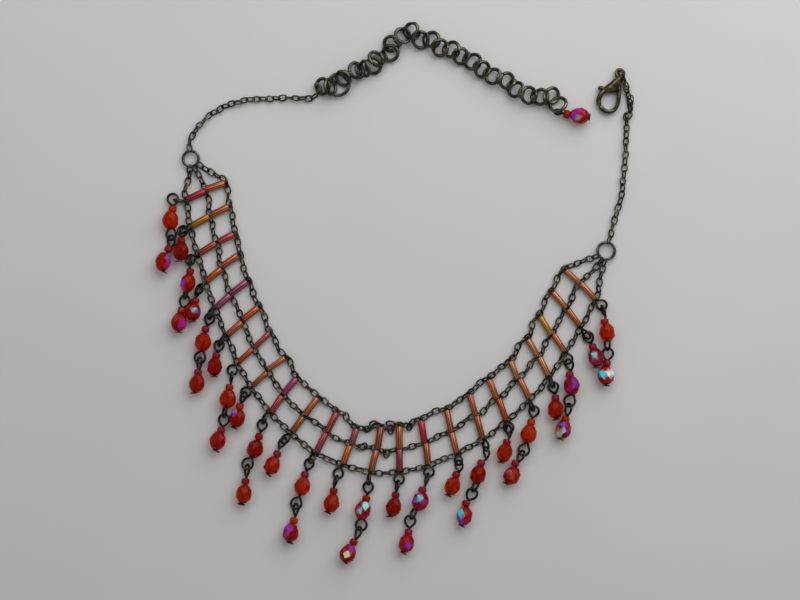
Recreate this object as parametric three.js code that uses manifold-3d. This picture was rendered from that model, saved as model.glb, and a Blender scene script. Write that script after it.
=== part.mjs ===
// Beaded choker, laid out flat on its back.
//
// A bib of three fine cable chains is held apart by 23 rungs. Each rung is a
// pin threaded through two glass bugle beads and through a link of each chain,
// with its free end turned into an eye. A drop hangs from every eye: long ones
// (two faceted beads) and short ones (one faceted bead) take turns. The bib
// chains meet in a jump ring at each side. From the left ring a neck chain runs
// to the extender, a chain of round links with a small drop at its end. From
// the right ring a neck chain runs to a lobster clasp, whose lever turns on a
// rivet.
//
// Millimetres, +Z up. The choker lies on the plane z = 0, its front edge
// towards -Y, with the origin under the middle of its outline.

import * as THREE from 'three';
import { mergeVertices } from 'three/addons/utils/BufferGeometryUtils.js';
import Module from 'manifold-3d';

const wasm = await Module();
wasm.setup();

// ---------------------------------------------------------------- sizes
const CHAIN_WIDTH = 1.6; // bib chain, across its links
const NECK_WIDTH = 2.0; // neck chain, across its links
const THREAD_HEIGHT = 0.9; // rung pins above the table
const PIN = 0.7; // wire of pins and eyes
const PIN_GAP = 0.3; // between a pin and the chain it passes through
const PIN_HEAD = 1.5;
const BUGLE_WIDTH = 2.0;
const EYE = 3.7; // outside diameter of an eye
const SEED = 2.6;
const BEAD_WIDTH = 5.4;
const BEAD_LENGTH = 6.3;
const BEAD_BELLY = 1.9; // length of the bead's widest band
const EYE_PLAY = 1.75; // from the centre of one eye to the next, when pulled out
const EYE_CLEAR = 3.0; // from a bib chain's middle to the centre of an eye
const JUMP_RING_WIRE = 1.0;
const JUMP_RING_HEIGHT = 1.35;
const LEFT_RING = { x: -71.59, y: 47.08, outer: 6.5 };
const RIGHT_RING = { x: 73.52, y: 14.88, outer: 7.0 };
const END_LINK = 2.7; // last link of a chain, round a jump ring
const END_LINK_WIRE = 0.55;
const EXTENDER_LINK = { wire: 0.95, outer: 5.9, small: 4.2 };
const EXTENDER_RING = { wire: 0.9, outer: 8.6 };

// One row for each rung, from the left ring round to the right ring: where its
// pin crosses the inner, middle and outer chain, and the centre of its eye.
const RUNGS = [
  { inner: [-58.78, 38.74], middle: [-66.48, 36.16], outer: [-73.20, 32.79], eye: [-75.58, 32.38] },
  { inner: [-58.01, 30.52], middle: [-65.01, 27.12], outer: [-71.73, 22.82], eye: [-73.69, 22.22] },
  { inner: [-55.56, 20.93], middle: [-62.39, 17.92], outer: [-69.25, 13.09], eye: [-71.59, 11.86] },
  { inner: [-54.34, 13.37], middle: [-60.88, 8.92], outer: [-66.48, 3.61], eye: [-68.34, 1.75] },
  { inner: [-51.36, 4.62], middle: [-57.84, -0.42], outer: [-63.16, -5.49], eye: [-64.73, -7.11] },
  { inner: [-47.69, -4.31], middle: [-53.46, -9.62], outer: [-59.41, -15.16], eye: [-60.95, -16.69] },
  { inner: [-43.80, -13.34], middle: [-49.65, -19.01], outer: [-55.18, -24.81], eye: [-56.89, -26.60] },
  { inner: [-38.55, -21.88], middle: [-44.71, -27.19], outer: [-50.52, -33.01], eye: [-52.20, -34.34] },
  { inner: [-34.35, -29.29], middle: [-39.39, -35.52], outer: [-44.01, -41.72], eye: [-45.76, -43.57] },
  { inner: [-27.00, -36.09], middle: [-31.97, -42.59], outer: [-36.66, -49.11], eye: [-38.34, -50.64] },
  { inner: [-20.32, -41.23], middle: [-24.10, -48.41], outer: [-27.98, -55.93], eye: [-29.10, -57.44] },
  { inner: [-13.56, -46.72], middle: [-15.73, -52.85], outer: [-19.06, -59.74], eye: [-20.00, -62.69] },
  { inner: [-5.34, -46.38], middle: [-6.63, -54.42], outer: [-9.01, -62.47], eye: [-9.40, -64.79] },
  { inner: [1.14, -45.89], middle: [1.31, -54.29], outer: [1.24, -62.44], eye: [1.17, -64.64] },
  { inner: [8.77, -43.92], middle: [10.24, -52.08], outer: [11.43, -60.13], eye: [11.60, -62.05] },
  { inner: [17.76, -40.29], middle: [19.48, -48.34], outer: [21.58, -56.10], eye: [21.86, -57.92] },
  { inner: [25.64, -35.04], middle: [27.91, -42.63], outer: [30.47, -50.99], eye: [31.45, -53.02] },
  { inner: [32.29, -29.51], middle: [35.51, -36.71], outer: [38.73, -44.62], eye: [39.36, -46.59] },
  { inner: [39.99, -23.27], middle: [42.82, -29.86], outer: [46.60, -36.92], eye: [47.41, -39.16] },
  { inner: [45.87, -15.44], middle: [49.82, -22.12], outer: [53.43, -29.19], eye: [54.41, -31.04] },
  { inner: [50.24, -7.28], middle: [54.62, -14.24], outer: [59.27, -20.65], eye: [59.94, -22.64] },
  { inner: [54.55, 1.01], middle: [59.59, -5.18], outer: [64.59, -11.76], eye: [66.38, -14.17] },
  { inner: [58.85, 8.61], middle: [64.38, 3.54], outer: [69.74, -2.41], eye: [71.77, -3.89] },
];

// One row for each drop: the centre of its top loop, its seed bead and faceted
// bead, and on a long drop the joint of its two halves and the lower seed and
// bead, then the head of the pin that ends it.
const DROPS = [
  { loop: [-77.89, 32.79], seed: [-77.89, 29.64], bead: [-78.52, 25.62], joint: [-78.75, 19.58], lowerSeed: [-79.56, 15.78], lowerBead: [-81.11, 11.13], head: [-81.75, 7.91] },
  { loop: [-74.39, 21.70], seed: [-74.85, 18.72], bead: [-74.95, 14.81], head: [-75.35, 11.38] },
  { loop: [-71.70, 10.96], seed: [-71.66, 7.94], bead: [-72.40, 3.67], joint: [-73.48, -1.33], lowerSeed: [-74.71, -5.64], lowerBead: [-75.58, -9.94], head: [-75.69, -13.37] },
  { loop: [-69.00, 0.59], seed: [-69.91, -2.34], bead: [-70.68, -6.26], head: [-70.79, -9.21] },
  { loop: [-65.08, -8.99], seed: [-66.38, -12.29], bead: [-67.18, -16.97], joint: [-68.39, -23.27], lowerSeed: [-69.00, -27.34], lowerBead: [-69.25, -31.26], head: [-70.37, -34.44] },
  { loop: [-61.79, -18.38], seed: [-62.63, -21.52], bead: [-63.09, -25.38], head: [-63.23, -28.56] },
  { loop: [-57.31, -29.33], seed: [-57.98, -32.44], bead: [-58.50, -36.64], joint: [-60.2, -42.60], lowerSeed: [-60.88, -47.53], lowerBead: [-62.04, -51.27], head: [-62.80, -54.42] },
  { loop: [-53.18, -36.22], seed: [-54.37, -39.09], bead: [-55.21, -43.40], head: [-56.26, -46.72] },
  { loop: [-46.67, -46.06], seed: [-47.65, -49.74], bead: [-48.98, -54.14], joint: [-51.73, -60.55], lowerSeed: [-52.41, -65.27], lowerBead: [-52.94, -69.82], head: [-53.81, -73.32] },
  { loop: [-39.60, -52.11], seed: [-41.25, -55.69], bead: [-43.00, -59.81], head: [-44.33, -63.00] },
  { loop: [-30.29, -59.67], seed: [-31.66, -63.00], bead: [-32.53, -67.16], joint: [-34.75, -74.27], lowerSeed: [-35.47, -78.96], lowerBead: [-36.59, -83.26], head: [-36.94, -86.94] },
  { loop: [-20.98, -65.45], seed: [-21.61, -68.64], bead: [-22.38, -72.97], head: [-23.71, -76.30] },
  { loop: [-9.64, -67.79], seed: [-10.24, -71.40], bead: [-11.53, -75.56], joint: [-12.58, -82.04], lowerSeed: [-14.58, -86.55], lowerBead: [-16.64, -90.55], head: [-17.90, -94.11] },
  { loop: [0.54, -67.16], seed: [0.05, -70.00], bead: [-0.75, -74.38], head: [-1.91, -77.07] },
  { loop: [10.87, -64.71], seed: [9.40, -68.28], bead: [8.59, -72.45], joint: [5.60, -78.15], lowerSeed: [4.50, -83.09], lowerBead: [3.76, -87.01], head: [2.89, -89.95] },
  { loop: [22.10, -60.24], seed: [21.19, -63.07], bead: [19.79, -67.16], head: [18.25, -70.45] },
  { loop: [31.69, -55.54], seed: [29.84, -58.94], bead: [28.75, -63.10], joint: [27.12, -68.65], lowerSeed: [24.52, -73.01], lowerBead: [23.96, -77.49], head: [23.08, -81.06] },
  { loop: [39.50, -47.91], seed: [38.83, -51.73], bead: [37.96, -55.47], head: [36.70, -58.62] },
  { loop: [48.25, -41.26], seed: [47.34, -44.69], bead: [46.32, -48.89], joint: [44.22, -55.65], lowerSeed: [41.88, -59.04], lowerBead: [40.51, -63.35], head: [38.31, -66.22] },
  { loop: [55.11, -32.86], seed: [55.74, -36.29], bead: [55.74, -40.29], head: [55.84, -43.57] },
  { loop: [60.64, -24.89], seed: [60.71, -28.14], bead: [61.30, -32.13], joint: [60.52, -38.89], lowerSeed: [59.31, -43.57], lowerBead: [58.43, -47.29], head: [57.24, -50.79] },
  { loop: [67.36, -15.36], seed: [68.76, -18.51], bead: [69.74, -22.22], head: [69.91, -25.41] },
  { loop: [72.47, -6.12], seed: [72.85, -9.59], bead: [73.66, -13.51], joint: [73.97, -19.42], lowerSeed: [73.69, -24.08], lowerBead: [73.27, -28.46], head: [73.41, -31.89] },
];

// Route of each bib chain: from the left ring, the middle of its sag between
// one rung and the next, and on to the right ring. leave and arrive are the
// directions in which it meets the rings.
const INNER_CHAIN = {
  leave: -36, arrive: -150,
  start: [[-66.59, 43.75], [-62.56, 41.30]],
  sag: [
    [-58.54, 34.82], [-56.89, 25.20], [-55.14, 16.80], [-53.11, 8.75], [-49.79, -0.17],
    [-45.59, -9.10], [-41.74, -18.20], [-36.31, -25.38], [-31.06, -32.38], [-23.36, -38.95],
    [-16.89, -43.75], [-9.71, -47.84], [-1.59, -47.64], [4.78, -46.02], [12.55, -41.76],
    [21.23, -37.97], [28.79, -31.67], [35.58, -26.77], [42.09, -19.99], [47.55, -11.59],
    [52.06, -3.46], [56.09, 4.51],
  ],
  end: [[63.44, 10.64], [68.16, 12.21]],
};
const MIDDLE_CHAIN = {
  leave: -67, arrive: -121,
  start: [[-69.21, 41.82], [-67.81, 39.38]],
  sag: [
    [-65.29, 31.46], [-63.96, 22.29], [-61.69, 13.12], [-59.24, 3.67], [-55.28, -5.07],
    [-51.78, -13.96], [-46.99, -23.27], [-42.05, -31.32], [-35.54, -39.24], [-27.56, -45.26],
    [-20.21, -50.79], [-11.46, -53.66], [-2.85, -55.76], [5.83, -53.51], [14.61, -50.01],
    [23.26, -45.32], [31.59, -40.14], [39.08, -33.99], [46.15, -26.29], [51.89, -18.31],
    [57.00, -9.97], [61.69, -1.09],
  ],
  end: [[66.59, 5.71], [68.83, 7.81]],
};
const OUTER_CHAIN = {
  leave: -98, arrive: -93,
  start: [[-72.01, 41.82], [-72.54, 39.38], [-73.41, 37.10]],
  sag: [
    [-72.43, 27.65], [-70.44, 17.67], [-67.64, 8.22], [-64.66, -1.22], [-60.99, -10.54],
    [-56.96, -19.77], [-52.62, -29.16], [-47.16, -37.27], [-40.16, -45.46], [-32.53, -52.32],
    [-23.50, -58.06], [-13.91, -61.35], [-3.41, -62.69], [6.32, -61.35], [16.54, -57.92],
    [25.99, -53.38], [34.95, -47.70], [42.93, -41.05], [50.28, -33.77], [56.65, -24.96],
    [62.04, -16.56], [67.22, -7.31],
  ],
  end: [[71.00, 1.92], [71.84, 6.47]],
};

// Route of each neck chain, away from its jump ring.
const LEFT_NECK = [
  [-71.91, 53.83], [-69.91, 57.02], [-67.22, 60.20], [-62.07, 63.87], [-58.40, 65.87], [-54.34, 66.85],
  [-50.52, 67.58], [-46.11, 68.07], [-41.42, 68.25], [-36.94, 68.36], [-32.50, 68.36],
];
const RIGHT_NECK = [
  [75.62, 22.54], [76.84, 27.16], [78.24, 31.78], [79.15, 36.61], [79.64, 41.16], [80.03, 45.71],
  [80.24, 50.33], [80.45, 55.16], [80.45, 59.99], [82.06, 64.61], [80.94, 70.00],
];

// Centres of the extender's round links, from the larger ring to its end.
const EXTENDER_LINKS = [
  [-18.32, 75.00], [-13.77, 77.80], [-10.62, 78.36], [-7.75, 79.48], [-6.84, 81.86], [-1.87, 83.97],
  [-1.45, 87.18], [2.40, 89.98], [5.41, 91.80], [8.70, 88.52], [12.55, 88.66], [15.56, 85.72],
  [19.62, 85.16], [22.70, 82.84], [26.97, 80.88], [30.19, 78.16], [34.04, 75.77], [38.73, 74.30],
  [41.95, 71.16], [46.36, 69.19], [50.63, 68.56], [54.48, 69.05], [56.65, 65.91],
];

const EXTENDER_FIRST = { x: -27.10, y: 72.08, outer: 5.15 };
const EXTENDER_RING_AT = { x: -20.0, y: 72.91 };
const EXTENDER_DROP = { loop: [56.65, 63.31], seed: [59.45, 62.61], bead: [64.07, 61.98], head: [67.29, 61.35] };

// The clasp lies flat. Its outline starts at the eye's left side and goes down
// round the rivet, along the top of the opening and back up the right side.
const CLASP = {
  eye: [78.31, 76.65], eyeOuter: 3.85, eyeWire: 0.8,
  rivet: [73.31, 71.01], rivetRadius: 0.3,
  chainAngle: -42, middle: 1.35, thickness: 2.6,
  slot: 1.3, slotRadius: 1.6,
  hookCentre: [74.46, 66.88], hookRadius: 3.5, hookWire: 1.55, hookFrom: 50, hookTo: -146,
};
const CLASP_OUTLINE = [
  [76.9, 75.5], [75.2, 74.4], [73.8, 73.3], [72.6, 72.2], [72.15, 71.4], [72.1, 70.75],
  [72.5, 70.1], [73.3, 69.8], [74.5, 70.0], [75.9, 70.1], [76.7, 69.3], [77.4, 68.0],
  [78.7, 67.9], [78.75, 70.5], [78.8, 72.6], [78.75, 74.5], [78.2, 75.6],
];
const LEVER = {
  hub: 1.2, bore: 0.6, blade: 0.7, bladeWidth: 1.1, arm: 1.3, opens: 30,
  armRoute: [[71.35, 69.45], [70.8, 67.9], [70.85, 66.45]],
  nub: [71.1, 71.86], nubRadius: 0.7,
};

// ------------------------------------------------------------- materials
const METAL = { color: 0x4a4436, roughness: 0.42, metalness: 0.9 };
const RED_GLASS = { color: 0xb3160c, roughness: 0.12, metalness: 0.0 };
const BUGLE_GLASS = [0xb8623a, 0xa8344a, 0xc07a3c, 0xb04434];

// ------------------------------------------------------------ small tools
const V = (x, y, z) => new THREE.Vector3(x, y, z);
const at = (row, z) => V(row[0], row[1], z);
const flat = (v) => V(v.x, v.y, 0);
const UP = V(0, 0, 1);

// A closed geometry as a solid that can be joined and cut.
function solid(geometry) {
  const bare = geometry.index ? geometry.toNonIndexed() : geometry.clone();
  bare.deleteAttribute('normal');
  bare.deleteAttribute('uv');
  const merged = mergeVertices(bare, 1e-4);
  const index = merged.index.array;
  const faces = [];
  for (let i = 0; i < index.length; i += 3) {
    const [a, b, c] = [index[i], index[i + 1], index[i + 2]];
    if (a !== b && b !== c && c !== a) faces.push(a, b, c);
  }
  return new wasm.Manifold(new wasm.Mesh({
    numProp: 3,
    vertProperties: new Float32Array(merged.attributes.position.array),
    triVerts: new Uint32Array(faces),
  }));
}

function geometryOf(body) {
  const mesh = body.getMesh();
  const geometry = new THREE.BufferGeometry();
  const positions = new Float32Array(mesh.numVert * 3);
  for (let i = 0; i < mesh.numVert; i++) {
    for (let k = 0; k < 3; k++) positions[3 * i + k] = mesh.vertProperties[i * mesh.numProp + k];
  }
  geometry.setAttribute('position', new THREE.BufferAttribute(positions, 3));
  geometry.setIndex(new THREE.BufferAttribute(new Uint32Array(mesh.triVerts), 1));
  geometry.computeVertexNormals();
  return geometry;
}

const join = (bodies) => bodies.reduce((all, body) => all.add(body));
const placed = (geometry, x, y, z, origin) =>
  geometry.applyMatrix4(new THREE.Matrix4().makeBasis(x, y, z).setPosition(origin));

// A ring of round wire, lying in the plane of the directions x and y.
function ring(centre, outer, wire, x = V(1, 0, 0), y = V(0, 1, 0), around = 8, sides = 3) {
  const torus = new THREE.TorusGeometry((outer - wire) / 2, wire / 2, sides, around);
  return solid(placed(torus, x, y, x.clone().cross(y), centre));
}

// A straight round bar.
function bar(from, to, width, sides = 4) {
  const along = to.clone().sub(from);
  const length = along.length();
  along.normalize();
  const section = new THREE.Shape();
  for (let i = 0; i < sides; i++) {
    const angle = ((i + 0.5) * 2 * Math.PI) / sides;
    const [x, y] = [(width / 2) * Math.sin(angle), (width / 2) * Math.cos(angle)];
    if (i === 0) section.moveTo(x, y);
    else section.lineTo(x, y);
  }
  section.closePath();
  const geometry = new THREE.ExtrudeGeometry(section, { depth: length, bevelEnabled: false });
  const side = Math.abs(along.z) > 0.9 ? V(1, 0, 0) : UP.clone();
  const across = along.clone().cross(side).normalize();
  const third = across.clone().cross(along);
  return solid(placed(geometry, across, third.negate(), along, from.clone()));
}

// A turned bead on a level thread, with one flat facing down.
function turned(profile, origin, along, sides) {
  const dir = along.clone().normalize();
  const points = profile.map(([r, h]) => new THREE.Vector2(r, h));
  const geometry = new THREE.LatheGeometry(points, sides);
  geometry.rotateY(Math.PI / sides);
  const across = dir.clone().cross(UP).normalize();
  return solid(placed(geometry, across, dir, across.clone().cross(dir), origin));
}

const SEED_HEIGHT = 2.0;
const STRAND_SIDES = 6;
const BEAD_HEIGHT = (BEAD_WIDTH / 2) * Math.cos(Math.PI / STRAND_SIDES); // a bead lies on one of its flats

// ---------------------------------------------------------------- chains
// A route with one section at each of its points.
class Route extends THREE.Curve {
  constructor(points) {
    super();
    this.points = points;
  }

  getPoint(t) {
    const place = t * (this.points.length - 1);
    const i = Math.min(Math.floor(place + 1e-9), this.points.length - 2);
    return this.points[i].clone().lerp(this.points[i + 1], place - i);
  }

  getPointAt(t) {
    return this.getPoint(t);
  }

  getTangentAt(t) {
    const i = Math.round(t * (this.points.length - 1));
    const before = this.points[i].clone().sub(this.points[Math.max(i - 1, 0)]).normalize();
    const after = this.points[Math.min(i + 1, this.points.length - 1)].clone().sub(this.points[i]).normalize();
    return before.add(after).normalize();
  }
}

function tube(points, width) {
  const section = new THREE.Shape();
  for (let i = 0; i < 8; i++) {
    const angle = ((i + 0.5) * Math.PI) / 4;
    const radius = width / 2 / Math.cos(Math.PI / 8);
    const [x, y] = [radius * Math.cos(angle), radius * Math.sin(angle)];
    if (i === 0) section.moveTo(x, y);
    else section.lineTo(x, y);
  }
  section.closePath();
  return solid(new THREE.ExtrudeGeometry(section, { steps: points.length - 1, extrudePath: new Route(points) }));
}

// The last link of a chain stands on edge round a ring's wire, and the chain's
// tube starts at its far side.
function ringEnd(centre, middleRadius, angle, height = JUMP_RING_HEIGHT) {
  const out = V(Math.cos(THREE.MathUtils.degToRad(angle)), Math.sin(THREE.MathUtils.degToRad(angle)), 0);
  const middle = V(centre.x, centre.y, height).addScaledVector(out, middleRadius);
  return {
    link: ring(middle, END_LINK, END_LINK_WIRE, out, UP),
    start: middle.clone().addScaledVector(out, END_LINK / 2 - 0.1),
    next: middle.clone().addScaledVector(out, END_LINK / 2 + 0.9),
  };
}
const level = (v, z) => V(v.x, v.y, z);
const angleTo = (centre, row) => THREE.MathUtils.radToDeg(Math.atan2(row[1] - centre.y, row[0] - centre.x));
const leftRadius = (LEFT_RING.outer - JUMP_RING_WIRE) / 2;
const rightRadius = (RIGHT_RING.outer - JUMP_RING_WIRE) / 2;

const PIN_BORE = 1.4; // leaves PIN_GAP round a square-cut pin
const BITE = 0.15; // how far joined pieces reach into each other
function bibChain(plan, crossing) {
  const z = CHAIN_WIDTH / 2;
  const first = ringEnd(LEFT_RING, leftRadius, plan.leave);
  const last = ringEnd(RIGHT_RING, rightRadius, plan.arrive);
  const points = [level(first.start, z), level(first.next, z), ...plan.start.map((row) => at(row, z))];
  RUNGS.forEach((rung, i) => {
    points.push(at(rung[crossing], z));
    if (i < plan.sag.length) points.push(at(plan.sag[i], z));
  });
  points.push(...plan.end.map((row) => at(row, z)), level(last.next, z), level(last.start, z));
  let body = join([tube(points, CHAIN_WIDTH), first.link, last.link]);
  for (const rung of RUNGS) {
    const middle = at(rung[crossing], THREAD_HEIGHT);
    const along = pinDirection(rung, crossing);
    if (crossing === 'middle') {
      const [, before, after] = bugleEnds(RUNGS.indexOf(rung));
      along.copy(after).sub(before).normalize();
      middle.copy(before).add(after).multiplyScalar(0.5);
    }
    const reach = CHAIN_WIDTH + 1;
    const bore = bar(middle.clone().addScaledVector(along, -reach), middle.clone().addScaledVector(along, reach), PIN_BORE, 4);
    body = body.subtract(bore);
  }
  return body;
}

function pinDirection(rung, crossing) {
  const [a, b, c] = ['inner', 'middle', 'outer'].map((name) => at(rung[name], THREAD_HEIGHT));
  const first = b.clone().sub(a).normalize();
  const second = c.clone().sub(b).normalize();
  if (crossing === 'inner') return first;
  if (crossing === 'outer') return second;
  return first.add(second).normalize();
}

// ----------------------------------------------------------- rungs, drops
const PLANS = { inner: INNER_CHAIN, middle: MIDDLE_CHAIN, outer: OUTER_CHAIN };

// Where the eye of rung i stands, and how the drop's top loop passes through
// it: the loop's centre is EYE_PLAY away at most, and above the eye where the
// two lie closer together than that.
function eyeJoint(i) {
  const outer = at(RUNGS[i].outer, 0);
  const loop = at(DROPS[i].loop, 0);
  const eye = at(RUNGS[i].eye, 0);
  const out = eye.clone().sub(outer).normalize();
  const away = Math.max(EYE_CLEAR, eye.distanceTo(outer));
  eye.copy(outer).addScaledVector(out, away);
  const along = loop.clone().sub(eye);
  const apart = along.length();
  if (apart < 0.25) along.copy(at(DROPS[i].seed, 0)).sub(eye);
  along.normalize();
  if (apart > EYE_PLAY) eye.copy(loop).addScaledVector(along, -EYE_PLAY);
  const radius = (EYE - PIN) / 2;
  const spread = Math.min(apart, EYE_PLAY);
  const rise = Math.sqrt(Math.max(0, radius * radius - spread * spread));
  eye.z = EYE / 2;
  loop.z = EYE / 2 + rise;
  return { eye, loop, along, side: UP.clone().cross(along) };
}

// Room that a bead needs beside chain crossing i: half the chain, slanted as
// the chain is there, and the gap.
function crossingRoom(i, crossing, along) {
  const plan = PLANS[crossing];
  const here = at(RUNGS[i][crossing], 0);
  const before = at(i === 0 ? plan.start[plan.start.length - 1] : plan.sag[i - 1], 0);
  const after = at(i === RUNGS.length - 1 ? plan.end[0] : plan.sag[i], 0);
  const slants = [here.clone().sub(before), after.clone().sub(here)].map((stretch) => {
    const cosine = Math.min(1, Math.abs(stretch.normalize().dot(flat(along))));
    const slant = Math.asin(cosine);
    return CHAIN_WIDTH / 2 / Math.cos(slant) + (BUGLE_WIDTH / 2) * Math.tan(slant);
  });
  return Math.min(Math.max(...slants), 2) + PIN_GAP;
}

// The four ends of a rung's two long beads, from the innermost outwards.
function bugleEnds(i) {
  return [['inner', 'middle'], ['middle', 'outer']].flatMap(([near, far]) => {
    const a = at(RUNGS[i][near], THREAD_HEIGHT);
    const b = at(RUNGS[i][far], THREAD_HEIGHT);
    const along = b.clone().sub(a).normalize();
    return [a.addScaledVector(along, crossingRoom(i, near, along)), b.addScaledVector(along, -crossingRoom(i, far, along))];
  });
}

function rungBody(i) {
  const rung = RUNGS[i];
  const [inner, outer] = ['inner', 'outer'].map((name) => at(rung[name], THREAD_HEIGHT));
  const joint = eyeJoint(i);
  const first = pinDirection(rung, 'inner');
  const last = pinDirection(rung, 'outer');
  const start = inner.clone().addScaledVector(first, -(CHAIN_WIDTH / 2 + PIN_GAP));
  const straight = outer.clone().addScaledVector(last, CHAIN_WIDTH / 2 + 0.4);
  const eyeFoot = V(joint.eye.x, joint.eye.y, PIN / 2);
  const ends = bugleEnds(i);
  return join([
    ring(joint.eye, EYE, PIN, joint.along, UP),
    bar(ends[0], ends[1], BUGLE_WIDTH, 6),
    bar(ends[2], ends[3], BUGLE_WIDTH, 6),
    bar(start, ends[0].clone().lerp(ends[1], 0.1), PIN),
    bar(ends[1].clone().lerp(ends[0], 0.1), ends[2].clone().lerp(ends[3], 0.1), PIN),
    bar(ends[3].clone().lerp(ends[2], 0.1), straight, PIN),
    bar(straight.clone().addScaledVector(last, -BITE), eyeFoot, PIN),
  ]);
}

// A seed bead and a faceted bead on one pin, from a loop's rim down to its end.
// The pin is straight and level, from beside the loop's wire to `to`.
function strand(wire, seedAt, beadAt, to, headed) {
  const from = V(wire.x, wire.y, BEAD_HEIGHT);
  const along = to.clone().sub(from).normalize();
  const place = (row) => at(row, BEAD_HEIGHT).sub(from).dot(along);
  const end = to.clone().sub(from).length();
  const s = place(seedAt);
  const b = Math.max(place(beadAt), s + SEED / 2 + BEAD_LENGTH / 2);
  const tip = Math.max(end, b + BEAD_LENGTH / 2 + 0.25);
  const r = PIN / 2;
  const profile = [
    [0, 0], [r, 0], [r, s - SEED / 2], [SEED / 2, s], [r + 0.1, (s + SEED / 2 + b - BEAD_LENGTH / 2) / 2],
    [BEAD_WIDTH / 2, b - BEAD_BELLY / 2], [BEAD_WIDTH / 2, b + BEAD_BELLY / 2], [r, b + BEAD_LENGTH / 2],
    ...(headed ? [[PIN_HEAD / 2, tip]] : [[r, tip]]), [0, tip],
  ];
  const beads = turned(profile, from, along, STRAND_SIDES);
  return Math.abs(wire.z - BEAD_HEIGHT) < 0.45 ? beads : beads.add(bar(wire, from.addScaledVector(along, PIN / 2), PIN));
}

// The point of a loop's wire that looks towards a bead.
function rimTowards(centre, x, y, target) {
  const to = target.clone().sub(centre);
  const inPlane = x.clone().multiplyScalar(to.dot(x)).addScaledVector(y, to.dot(y)).normalize();
  return centre.clone().addScaledVector(inPlane, (EYE - PIN) / 2);
}

function dropBody(i) {
  const drop = DROPS[i];
  const { eye, loop, along, side } = eyeJoint(i);
  const outward = loop.clone().sub(eye).normalize();
  const rim = rimTowards(loop, outward, side, at(drop.seed, SEED_HEIGHT));
  const parts = [ring(loop, EYE, PIN, outward, side)];
  if (!drop.joint) {
    parts.push(strand(rim, drop.seed, drop.bead, at(drop.head, BEAD_HEIGHT), true));
    return join(parts);
  }
  const down = flat(at(drop.lowerSeed, 0).sub(at(drop.bead, 0))).normalize();
  const radius = (EYE - PIN) / 2;
  const middle = at(drop.joint, BEAD_HEIGHT);
  parts.push(strand(rim, drop.seed, drop.bead, middle.clone().addScaledVector(down, -radius), false));
  parts.push(ring(middle, EYE, PIN, down, UP.clone().cross(down)));
  parts.push(strand(middle.clone().addScaledVector(down, radius - BITE), drop.lowerSeed, drop.lowerBead, at(drop.head, BEAD_HEIGHT), true));
  return join(parts);
}

// -------------------------------------------------------------- extender
const linkRadius = (EXTENDER_LINK.outer - EXTENDER_LINK.wire) / 2;
const bigRadius = (EXTENDER_RING.outer - EXTENDER_RING.wire) / 2;
const CENTRE_SHIFT = { x: 0.285, y: -0.115 }; // brings the middle of the whole piece onto the origin
const RING_HEIGHT = 1.8; // the larger ring and the first link rest on the upright links
const bigAt = V(EXTENDER_RING_AT.x, EXTENDER_RING_AT.y, RING_HEIGHT);

function uprightOn(towards, beyond = 0) {
  const out = flat(V(towards.x, towards.y, 0).sub(flat(bigAt))).normalize();
  const centre = flat(bigAt).addScaledVector(out, bigRadius + beyond);
  centre.z = EXTENDER_LINK.outer / 2;
  return { centre, out };
}

function extenderChain() {
  const first = uprightOn(at(EXTENDER_LINKS[0], 0));
  const parts = [ring(first.centre, EXTENDER_LINK.outer, EXTENDER_LINK.wire, first.out, UP)];
  const count = EXTENDER_LINKS.length;
  for (let i = 1; i < count; i++) {
    const z = i === 1 ? 1.2 : i === count - 1 ? EYE / 2 : i === count - 2 ? 1.3 : 0.85;
    const centre = at(EXTENDER_LINKS[i], z);
    const lean = THREE.MathUtils.degToRad(i % 2 ? 7 : -7);
    const before = at(EXTENDER_LINKS[i - 1], z);
    const ahead = centre.clone().sub(before).normalize();
    const across = UP.clone().cross(ahead).applyAxisAngle(ahead, i === count - 1 ? 0 : lean);
    parts.push(ring(centre, EXTENDER_LINK.outer, EXTENDER_LINK.wire, ahead, across, 8, 3));
  }
  return join(parts);
}

function extenderDrop() {
  const last = at(EXTENDER_LINKS[EXTENDER_LINKS.length - 1], EYE / 2);
  const out = at(EXTENDER_DROP.loop, EYE / 2).sub(last).normalize();
  const loop = last.clone().addScaledVector(out, linkRadius);
  const rim = rimTowards(loop, out, UP, at(EXTENDER_DROP.seed, SEED_HEIGHT));
  const beads = strand(rim, EXTENDER_DROP.seed, EXTENDER_DROP.bead, at(EXTENDER_DROP.head, BEAD_HEIGHT), true);
  return join([ring(loop, EYE, PIN, out, UP), beads]);
}

function neckChain(points, width, first, last) {
  const z = width / 2;
  const route = [level(first.start, z), level(first.next, z), ...points.map((row) => at(row, z)), level(last.next, z), level(last.start, z)];
  return join([tube(route, width), first.link, last.link]);
}

// ----------------------------------------------------------------- clasp
function slab(outline, thickness, middle) {
  const shape = new THREE.Shape(outline.map(([x, y]) => new THREE.Vector2(x, y)));
  const geometry = new THREE.ExtrudeGeometry(shape, { depth: thickness, bevelEnabled: false });
  geometry.translate(0, 0, middle - thickness / 2);
  return solid(geometry);
}

function disc(centre, radius, thickness, middle, sides) {
  return bar(V(centre[0], centre[1], middle - thickness / 2), V(centre[0], centre[1], middle + thickness / 2), 2 * radius, sides);
}

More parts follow.
